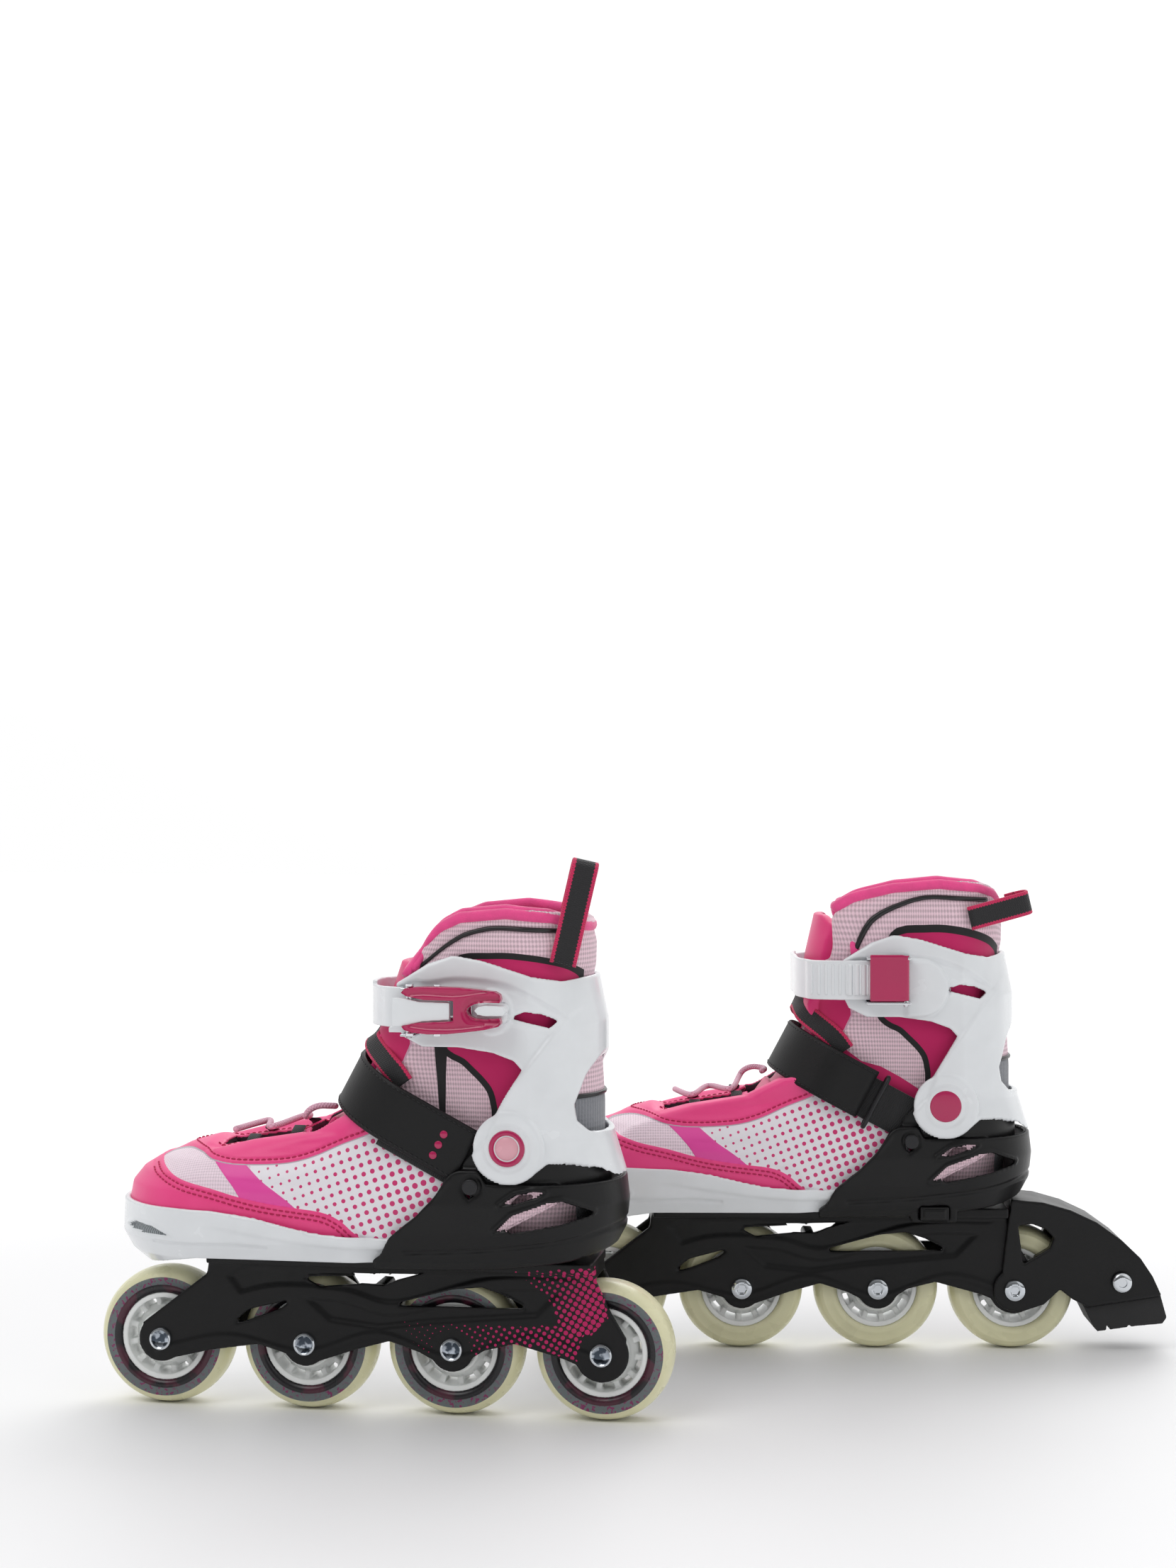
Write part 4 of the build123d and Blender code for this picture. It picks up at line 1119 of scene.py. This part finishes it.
def dress_liner(boot, skate):
    """Puffs the padded collar up between its seams, and sews its rim and piping to one skate."""
    at = side_view(boot)
    p = boot.points
    outer = outward(boot, (58, 0))
    piping, panel = curve(PIPING), curve(ANKLE_PANEL, 3, closed=True)
    depth = inset_depth(at, panel)
    seam = np.minimum(line_distance(at, piping), np.abs(depth))
    seam = np.minimum(seam, line_distance(at, curve(RIM_EDGE)))
    # padding swells between the seams of the collar and of the front panel
    puff = ease(seam, 0.0, 7.0) * ease(at[:, 1], 215, 236)
    front = ease(seam, 0.0, 6.0) * ease(at[:, 0], 96, 80) * ease(at[:, 1], 150, 165)
    emboss(boot, 1.5 * puff + 0.5 * front * (1 - puff), outer)
    either = (ease(np.abs(p[:, 1]), 10, 16) - 0.5) * CRISP
    front_panel = inset_depth(at, FRONT_PANEL)
    for name, inside, flank in (
            ("ankle_panel", depth, either), ("binding", depth + BINDING_WIDE, either),
            ("front_panel", front_panel, either),
            ("panel_edge", 0.5 - np.abs(front_panel), either),
            ("front_strip", inset_depth(at, FRONT_STRIP), np.minimum(either, -p[:, 1])),
            ("vamp", inset_depth(at, VAMP), np.minimum(either, p[:, 1])),
            ("heel_patch", HEEL_LINE - at[:, 1], at[:, 0] - HEEL_PATCH_X)):
        boot.values[name] = np.minimum(inside, flank)
    boot.values["lining"] = 0.5 - outer
    boot.cloth(np.arctan2(p[:, 1], p[:, 0] - 55) * 42, p[:, 2])
    surface = Skin(boot)
    LINER_SKIN[skate.side] = surface
    place("liner_boot", evened(boot.moved(), skate), ANKLE_BEND, LINER, ["liner"],
          pair=(skate,))

    cords = [tube(surface.side(even(piping, 1.5), side, 0.35)[0], 1.25, 8) for side in (-1, 1)]
    heel = []
    for angle in np.radians(np.arange(-62, 63, 4)):
        away = np.array([math.cos(angle), math.sin(angle), 0])
        at, normal = surface.hit(FAR_OUT * away + (60, 0, HEEL_LINE), -away)
        heel.append(at + normal * 0.2)
    cords.append(tube(heel, 1.2, 8))
    place("liner_piping", evened(joined(cords), skate), ANKLE_BEND, PIPING_BLACK,
          pair=(skate,))

    edge = np.array(RIM_EDGE)
    if skate is LEFT:
        edge = edge + np.outer(np.clip((46 - edge[:, 0]) / 52, 0, 1) * 12.0, (1, 0))
    rim = collar_line(surface, edge, -4)[::-1] + collar_line(surface, edge, 4)[1:]
    # the rim's end on the side that is seen runs on down the collar's front edge
    if skate is LEFT:
        ends = ((-2.0, 1.4, -13), (-1.0, 1.2, -6.5))
    else:
        ends = ((3.0, 1.4, -21), (2.0, 1.25, -14), (0.5, 1.1, -7))
        rim.reverse()
    x, y, z = rim[0]
    rim = np.array([(x + ahead, y * wider, z + drop) for ahead, wider, drop in ends] + rim)
    inwards = unit(rim[:, :2] - np.array([COLLAR_X, 0]))
    low, high = rim.copy(), rim.copy()
    low[:, :2] -= inwards * 1.6
    high[:, :2] -= inwards * 4.8
    high[:, 2] += 1.6
    thick = np.interp(np.arange(2 * len(low) - 1), (0, 8, 16), (2.5, 2.7, 3.0))
    roll = tube(curve(low, 2), thick, 12).join(tube(curve(high, 2), thick + 0.2, 12))
    place("collar_rim", evened(roll, skate), ANKLE_BEND, PLUSH_CLOTH,
          pair=(skate,))


def collar_line(surface, edge, step):
    """Points along the collar's top edge, from the heel to the front edge of one side."""
    line = []
    for angle in np.radians(np.arange(0, 44) * step):
        height = 250.0
        for _ in range(5):
            away = np.array([math.cos(angle), math.sin(angle), 0])
            found = surface.hit(FAR_OUT * away + (COLLAR_X, 0, height - 3.0), -away)
            if found is None:
                return line
            height = float(np.interp(found[0][0], *edge.T)) + 2.0
        at = (*found[0][:2], height)
        if line and np.linalg.norm(np.subtract(at, line[-1])) > 13:
            return line
        line.append(at)
    return line


def make_tongue():
    pad = cad_moulded("tongue", 0.9, 14)
    for skate in PAIR:
        shaped = pad
        if skate is LEFT:
            shaped = tightened(pad, 8.5)
            tall = np.maximum(shaped.points[:, 2] - 215, 0)
            shaped.points[:, 2] -= 0.42 * tall
        shaped = shaped.moved()
        q = shaped.points
        # clear of the instep strap below, curled back at the sides, and rounded at the top
        q[:, 0] += 5.0 * ease(-np.abs(q[:, 1]), -34, -25) * ease(-q[:, 2], -202, -190)
        q[:, 0] += 6.5 * (q[:, 1] / 26) ** 2 * ease(q[:, 2], 196, 214)
        top = q[:, 2].max()
        q[:, 2] -= 5.0 * ease(np.abs(q[:, 1]), 12, 26) * ease(q[:, 2], top - 16, top - 1)
        place("tongue_pad", shaped, TONGUE_BEND, SYNTHETIC, ["tongue"],
              pair=(skate,))
        surface = Skin(shaped)
        path = []
        for x, z in ((18.5, 175.0), (14.5, 180.5), (9.5, 185.5)):
            at, normal = LINER_SKIN[skate.side].hit((x, -FAR_OUT, z), (0, 1, 0))
            path.append(at + normal * 1.0)
        for y, z in ((-22, 194), (-15, 198), (-7, 200.5), (0, 201)):
            at, normal = surface.hit((-FAR_OUT, y, z), (1, 0, 0))
            path.append(at + (-1.4, 0, 0.4))
        path += [(x, -y, z) for x, y, z in path[-2::-1]]
        line = curve(path, 5)
        up = np.stack([np.full(len(line), -0.75), line[:, 1] * 0.05, np.full(len(line), 0.3)], 1)
        loop = ribbon(line, up, 12.5, 1.3)
        place("tongue_webbing", loop, TONGUE_BEND, EDGED_WEBBING, pair=(skate,))


# ---- straps over the instep ----
STRAP_TILT = math.radians(28)
STRAP_CREST = np.array([-16.0, 0.0, 174.0])
STRAP_DOWN = np.array([math.cos(STRAP_TILT), 0, -math.sin(STRAP_TILT)])
STRAP_WIDE = np.array([math.sin(STRAP_TILT), 0, math.cos(STRAP_TILT)])


def strap_point(down, across, wide=0.0):
    """A point given along the strap's fall, across the foot and across the strap's width."""
    return STRAP_CREST + down * STRAP_DOWN + across * np.array([0, 1, 0]) + wide * STRAP_WIDE


def make_straps():
    reach, turn = 40.2, 34.0
    arch = [(turn * (1 - math.cos(a)), -reach * math.sin(a))
            for a in np.linspace(math.pi / 2, -math.pi / 2, 31)]
    flat = [*((d, -reach) for d in np.arange(76, turn + 1, -3)), *arch,
            *((d, reach) for d in (37, 40, 44, 48, 52))]
    line = np.array([strap_point(d, y) for d, y in flat])
    away = unit(np.array([(d - turn - 4 if d < turn else 0.0, y) for d, y in flat]))
    up = away[:, :1] * STRAP_DOWN + away[:, 1:] * np.array([0, 1, 0])
    line = line + 1.4 * STRAP_WIDE
    strap = ribbon(line, up, 29.0, 1.9, 0.6, 10)
    place("instep_strap_band", strap, "chassis", STRAP, ["instep_strap"])
    sewn = [stitches(line + wide * STRAP_WIDE + up * 1.95, up, 1.9, 1.1, 0.26)
            for wide in (-12.6, 12.6)]
    place("instep_strap_stitching", joined(sewn), "chassis", DARK_THREAD)
    disc = lathe([(0, -0.3), (1.7, -0.3), (2.0, -0.1), (2.0, 0.2), (0, 0.2)], 32)
    dots = [disc.moved(*strap_point(61, -reach - 1.95, wide)) for wide in (-6.0, 0.0, 6.0)]
    place("instep_strap_dots", joined(dots), "chassis", MAGENTA_PLASTIC)

    bands = []
    for side, shift in ((-1, -4.5), (1, 0.0)):
        line = np.array([strap_point(d, side * 38.0, shift) for d in np.arange(32, 81, 3)])
        bands.append(ribbon(line, np.tile([0, side, 0], (len(line), 1)), 24.0, 1.1, 0.5, 8))
    place("strap_anchor_webbing", joined(bands), "chassis", BLACK_WEBBING,
          ["strap_anchor"])
    around = np.radians(np.arange(0, 360, 10))
    high, wide = (np.abs(f(around)) ** 0.4 * np.sign(f(around)) for f in (np.cos, np.sin))
    ring = [strap_point(58, 41.6 + 2.8 * c, 15.6 * w) for c, w in zip(high, wide)]
    place("strap_ring", tube(ring, 1.3, 10, closed=True), "chassis", DARK_METAL)


# ---- cuff ----
LEG_STEP = [(64, 150), (70, 165), (76, 175.5), (83, 185), (89, 193), (94, 200), (99, 206),
            (104, 211), (112, 216), (126, 220.5)]
WING_RIDGE = [(14, 224), (25, 228.6), (33, 228), (45, 230), (60, 229.6), (72, 227.6), (83, 223.6),
              (93, 217.5), (103, 210)]
LEVER_REST = [(59.4, 214.8), (61.2, 216.8), (65, 217.6), (74, 217.2), (75.6, 214.8), (74, 212.4),
              (65, 212.0), (61.2, 212.8)]


def make_cuff():
    band = cad_moulded("cuff", 0.8, 12)
    at = side_view(band)
    outer = outward(band, (60, 0))
    leg = inset_depth(at, [*curve(LEG_STEP, 4), (140, 220), (140, 100), (40, 100), (50, 135)])
    above = at[:, 1] - np.interp(at[:, 0], *curve(WING_RIDGE, 4).T)
    wing = ease(above, -1.4, 0.6) * ease(at[:, 0], 106, 96)
    slot = inset_depth(at, [(73, 210), (82, 213.5), (91, 212), (98.5, 208.5), (94, 204.5),
                            (87, 206.5)])
    relief = 1.3 * ease(leg, -0.9, 1.1) + 0.9 * wing + 0.5 * ease(slot, -3.2, -1.4)
    relief -= 0.5 * ease(-np.abs(above + 2.6), -2.2, -0.4) * ease(at[:, 0], 104, 92) * (leg < 0)
    pad = 11.5 - np.hypot(at[:, 0] - 65.5, at[:, 1] - 213)
    relief += 1.5 * ease(pad, -0.4, 0.9) * ease(at[:, 0], 60, 66)
    rim = 17.5 - np.hypot(at[:, 0] - PIVOT.x, at[:, 1] - PIVOT.z)
    relief -= 0.45 * ease(-np.abs(rim - 6.0), -0.9, -0.2)
    relief[band.points[:, 1] > 0] *= np.where(pad > -1, 0.0, 1.0)[band.points[:, 1] > 0]
    medial = ease(band.points[:, 1], 20, 34)
    surround = 16.5 - np.hypot(np.maximum(at[:, 0] - 59.5, 0), at[:, 1] - 211.5)
    relief += 2.6 * medial * ease(surround, -0.8, 1.2) * ease(at[:, 0], 50, 54)
    emboss(band, relief, outer * ease(np.abs(band.points[:, 1]), 20, 34))
    # the small rest under the lever
    boss = moulded(slab(LEVER_REST, -57.2, -49.5), 0.45)
    place("cuff_moulding", band.join(boss), "cuff", WHITE_PLASTIC, ["cuff"])

    ring = [(4.4, -37.4), (4.4, -46.6), (9.2, -46.6), (9.3, -47.2), (8.9, -48.1), (8.2, -48.4),
            (7.2, -48.2), (6.6, -47.4), (6.4, -46.9), (0, -46.9)]
    cap = [(0, -48.5), (3.0, -48.4), (5.2, -48.0), (6.1, -47.2), (6.2, -46.6), (0, -46.6)]
    flat_cap = [(0, -48.0), (6.0, -48.0), (8.4, -47.8), (9.1, -47.0), (9.2, -46.4), (0, -46.4)]
    pin = [(0, -46.6), (4.4, -46.6), (4.4, -38.8), (6.4, -38.8), (6.4, -37.5), (0, -37.5)]
    flat_side, pin = lathe(flat_cap, 48).mirrored(), lathe(pin, 32)
    pieces = [lathe(ring, 56).painted(0), lathe(cap, 48).painted(1), flat_side.painted(0),
              pin.painted(0), pin.mirrored().painted(0)]
    place("pivot_caps", joined(pieces).moved(x=PIVOT.x, z=PIVOT.z), "chassis",
          [MAGENTA_PLASTIC, PINK_PLASTIC], ["cuff_pivots"], sharp=35)


# ---- buckle: toothed strap, lever, clasp ----
LEVER_OUTLINE = [(22.3, 223.2), (24, 225.4), (30, 226.2), (41, 226.4), (51, 226.2), (60, 225.4),
                 (70, 224.4), (72.6, 223.0), (73.2, 220.4), (72.4, 218.8), (65, 219.0),
                 (59.8, 218.2), (56.6, 216.4), (55.6, 214.6), (56.6, 212.6), (60.0, 211.0),
                 (65, 210.6), (72.4, 211.2), (73.2, 208.6), (71.8, 207.0), (64, 205.2), (55, 204.0),
                 (46, 203.0), (36, 202.7), (28, 203.4), (24, 204.6), (22.3, 206.6), (31, 208.4),
                 (49, 209.4), (49, 219.6), (34, 219.8), (25, 221.6)]
LADDER_TONGUE = [(17.5, 220.6), (24.2, 220.4), (31.4, 218.8), (46.8, 218.6), (46.8, 210.0),
                 (33.2, 209.0), (24.2, 206.6), (17.5, 206.2)]
LEVER_OUT, LEVER_IN = -58.2, -52.4        # outer and inner face of the closed lever
LADDER_Z = 216.4                          # middle of the ladder's height
TOOTH_PITCH = 3.9


def tightened(shape, amount, across=0.0, low=190.0):
    """The buckled strap of one skate pulled tighter: its front moves back by up to amount."""
    p = shape.points
    share = ease(p[:, 2], low, low + 14) * np.clip((46 - p[:, 0]) / 52, 0, 1.1)
    if across:
        share = share * ease(np.abs(p[:, 1]), across + 8, across - 4)
    made = shape.mapped(lambda q: q + np.outer(share * amount, (1, 0, 0)))
    return made


def make_buckles():
    for skate in PAIR:
        ladder = cad_moulded("ladder_strap", 0.55, 4)
        ladder = tightened(ladder, *((14.0, 47, 150) if skate is LEFT else (6.6, 40, 150)))
        q = ladder.points
        if skate is LEFT:
            q[:, 2] -= 1.8 * ease(-q[:, 0], -16, 0) * ease(q[:, 1], -15, 22)
        q[:, 0] -= np.where(q[:, 1] > 35, np.maximum(q[:, 0] - 48, 0) * 0.85, 0)
        surface = Skin(ladder)
        teeth = []
        for x in np.arange(-1.0, 37, TOOTH_PITCH):
            found = surface.hit((x, FAR_OUT, 216), (0, -1, 0))
            if found is not None:
                (_, y, _), normal = found
                turn = math.atan2(normal[0], normal[1])
                c, sn = math.cos(turn), math.sin(turn)
                spin = np.array([[c, sn, 0], [-sn, c, 0], [0, 0, 1]])
                tooth = brick((-0.75, 0.75), (-0.5, 0.7), (-8.6, 8.6))
                teeth.append(tooth.mapped(lambda p: p @ spin.T + np.array((x, y, LADDER_Z))))
        ladder = ladder.join(moulded(joined(teeth), 0.35, 3))
        tongue = moulded(slab(LADDER_TONGUE, LEVER_OUT + 1.4, LEVER_OUT + 3.6), 0.45, 4)
        place("ladder_moulding", ladder.join(tongue), "ladder", WHITE_PLASTIC,
              ["ladder_strap"], pair=(skate,))

    lever = moulded(slab(LEVER_OUTLINE, LEVER_OUT, LEVER_IN), 0.4, 4)
    at = side_view(lever)
    outer = ease(-lever.normals()[:, 1], 0.4, 0.9) * ease(-lever.points[:, 1], 54.5, 56)
    # two grooves along the lever's bars, a hollow for the finger, and lower ends
    bars = curve([(27, 222.4), (35, 222.9), (50, 222.4), (66, 224.6)])
    lower = curve([(27, 206.8), (37, 205.8), (50, 206.0), (64, 207.6)])
    grooves = np.minimum(line_distance(at, bars), line_distance(at, lower))
    around = np.hypot(np.minimum(at[:, 0] - 60.8, 0), at[:, 1] - 214.8)
    bowl = ease(-around, -8.2, -5.2) * ease(at[:, 0], 50, 53)
    ends = ((at[:, 0] - 46) / 27) ** 2
    emboss(lever, -0.55 * ease(-grooves, -1.0, -0.1) - 1.1 * bowl - 0.9 * ends, outer)
    place("lever_moulding", lever, "lever", MAGENTA_PLASTIC, ["lever"], sharp=50)

    head = lathe([(0, -1.1), (1.6, -1.0), (2.1, -0.5), (2.1, 0.6), (0, 0.6)], 28)
    pin = upright(head.mirrored()).moved(z=202.2).join(upright(head).moved(z=226.8))
    for name, x, body in (("lever_pin_heads", 26, "cuff"), ("pull_pin_heads", 40, "lever")):
        place(name, pin.moved(x=x, y=LEVER_IN - 1.6), body, CHROME, sharp=40)

    for node, name in (("buckle_base", "buckle_plate"), ("clasp_base", "clasp_channel")):
        place(name, cad_moulded(node, 0.36, 4), "cuff", CHROME, [node])
    tab = cad_moulded("clasp_tab", 0.45, 24)
    middle = (tab.points[:, 2].min() + tab.points[:, 2].max()) / 2
    # a little taller than the CAD's, and 1.6 mm higher
    tab.points[:, 2] = middle + 1.6 + (tab.points[:, 2] - middle) * 1.16
    place("clasp_tab_moulding", tab, "clasp_tab", MAGENTA_PLASTIC,
          ["clasp_tab"])


# ---- pull loops ----
def make_pull_loop(skate, side, base, lean, turn, length):
    """Webbing loop sewn to the collar: up one leg, over the fold and part way down the other."""
    gap, short = 8.0, 27.0
    path = [(-0.9, 0), (-0.9, length * 0.5), (-0.7, length - 6), (0.8, length - 1.6),
            (4, length - 0.4), (7.2, length - 1.6), (gap + 0.7, length - 6), (gap + 0.9, short + 6),
            (gap + 0.9, short)]
    line = curve([(0, y, z) for y, z in path], 6)
    ahead = np.gradient(line, axis=0)
    up = np.cross(ahead, (1, 0, 0))
    loop = ribbon(line, -up, 13.6, 1.2)
    if side > 0:
        loop = loop.mirrored()
    sewn_at = np.array(Matrix.Translation(base)
                       @ Matrix.Rotation(math.radians(-side * turn), 4, "Z")
                       @ Matrix.Rotation(math.radians(lean), 4, "Y"))
    loop = loop.mapped(lambda p: p @ sewn_at[:3, :3].T + sewn_at[:3, 3])
    place("pull_loop_webbing", loop, "cuff", EDGED_WEBBING, ["pull_loop"],
          pair=(skate,))


# ---- heel brake ----
def make_brake():
    arm = cad_moulded("brake_arm", 0.7, 6, RIGHT)
    place("brake_arm_moulding", arm, "chassis", BLACK_PLASTIC, ["brake_arm"],
          pair=(RIGHT,))
    bolts = cad_shape("bolts", RIGHT).points
    bolt = bolts[bolts[:, 0] > 150]              # the brake's own bolt is the rearmost
    low, high = bolt.min(0), bolt.max(0)
    x, _, z = (low + high) / 2
    head = lathe([(0, 0.6), (2.4, 0.6), (2.6, 1.7), (4.2, 1.7), (5.2, 1.2), (5.8, 0.3),
                  (5.8, -0.8), (0, -0.8)], 40)
    heads = head.moved(x, high[1], z).join(head.mirrored().moved(x, low[1], z))
    place("brake_bolt_heads", heads, "chassis", STEEL, sharp=35, pair=(RIGHT,))
    pad = cad_moulded("brake_pad", 0.6, 5, RIGHT)
    place("brake_pad_rubber", pad, "chassis", RUBBER, ["brake_pad"], pair=(RIGHT,))


# ---- making everything ----
make_wheels()
make_axles()
make_frame()
make_heel_shell()
make_small_chassis_parts()
make_toe_base()
make_upper()
make_eyelets()
make_lace()
make_liner()
make_tongue()
make_straps()
make_cuff()
make_buckles()
make_pull_loop(LEFT, -1, (100.0, -33.5, 236.5), 13, 12, 53)
make_pull_loop(RIGHT, 1, (88, 38.0, 250), 76, 12, 38)
make_brake()


# ---- floor, light and camera ----
SIDE_LIGHT, BACK_SHARE, TOP_SHARE = 0.55, 0.48, 0.36      # brightness of the studio's walls
FLOOR_HALF = 6.0                                          # metres
FADE_FROM, FADE_TO = 0.4, 1.0                             # metres over which the floor turns white
WHITE_LIGHT = (1.0, 1.0, 1.0, 1.0)
LAMPS = (("key", (-0.7, -1.2, 1.7), 0.12, 1.0, 8.5), ("fill", (1.4, -1.0, 0.9), 0.12, 1.4, 3),
         ("back", (0.3, 1.5, 1.6), 0.15, 1.2, 10))        # place, height aimed at, size, watts


def make_floor():
    """Plain pale floor that turns into plain white light away from the skates."""
    finish = Finish("floor", rgb(243, 243, 244), 0.55)
    finish.vary(0.004, 0.01)
    away = finish.node("VectorMath", {0: finish.node("TexCoord", output="Object")}, output=1,
                       operation="LENGTH")
    far = finish.node("MapRange", {"Value": away, "From Min": FADE_FROM, "From Max": FADE_TO},
                      interpolation_type="SMOOTHSTEP")
    finish.paint(far, (0.0, 0.0, 0.0, 1.0))
    finish.shader.inputs["Emission Color"].default_value = WHITE_LIGHT
    finish.tree.links.new(far, finish.shader.inputs["Emission Strength"])
    mesh = bpy.data.meshes.new("floor")
    corners = ((-1, -1), (1, -1), (1, 1), (-1, 1))
    mesh.from_pydata([(x * FLOOR_HALF, y * FLOOR_HALF, 0) for x, y in corners], [], [(0, 1, 2, 3)])
    mesh.materials.append(finish.done())
    floor = bpy.data.objects.new("floor", mesh)
    bpy.context.scene.collection.objects.link(floor)


def make_world():
    """Studio light from all round, more from the back and above; the wall itself is white."""
    world = bpy.data.worlds.new("studio")
    world.use_nodes = True
    tree = world.node_tree

    def calculate(operation, *inputs):
        node = tree.nodes.new("ShaderNodeMath")
        node.operation = operation
        for socket, value in zip(node.inputs, inputs):
            if isinstance(value, float):
                socket.default_value = value
            else:
                tree.links.new(value, socket)
        return node.outputs[0]

    way = tree.nodes.new("ShaderNodeSeparateXYZ")
    tree.links.new(tree.nodes.new("ShaderNodeTexCoord").outputs["Generated"], way.inputs[0])
    back = calculate("MULTIPLY_ADD", way.outputs[1], BACK_SHARE, SIDE_LIGHT)
    light = calculate("MULTIPLY_ADD", way.outputs[2], TOP_SHARE, back)
    seen = tree.nodes.new("ShaderNodeLightPath").outputs["Is Camera Ray"]
    background = tree.nodes["Background"]
    background.inputs["Color"].default_value = WHITE_LIGHT
    tree.links.new(calculate("MAXIMUM", light, seen), background.inputs["Strength"])
    bpy.context.scene.world = world


def make_lamps():
    for name, stand, height, size, power in LAMPS:
        data = bpy.data.lights.new(name, "AREA")
        data.size = size
        data.energy = power
        lamp = bpy.data.objects.new(name, data)
        lamp.location = stand
        aim = Vector((0, 0, height)) - Vector(stand)
        lamp.rotation_euler = aim.to_track_quat("-Z", "Y").to_euler()
        bpy.context.scene.collection.objects.link(lamp)
    bpy.context.scene.view_settings.view_transform = "Standard"


def make_camera():
    data = bpy.data.cameras.new("camera")
    data.lens = 58.31
    data.sensor_width = 36.0
    data.clip_end = 50.0
    camera = bpy.data.objects.new("camera", data)
    camera.location = (0.1927, -1.3868, 0.3383)
    aim = Vector((-0.1637, 0.9865, -math.tan(math.radians(0.49))))
    camera.rotation_euler = aim.to_track_quat("-Z", "Y").to_euler()
    bpy.context.scene.collection.objects.link(camera)
    bpy.context.scene.camera = camera


make_floor()
make_world()
make_lamps()
make_camera()
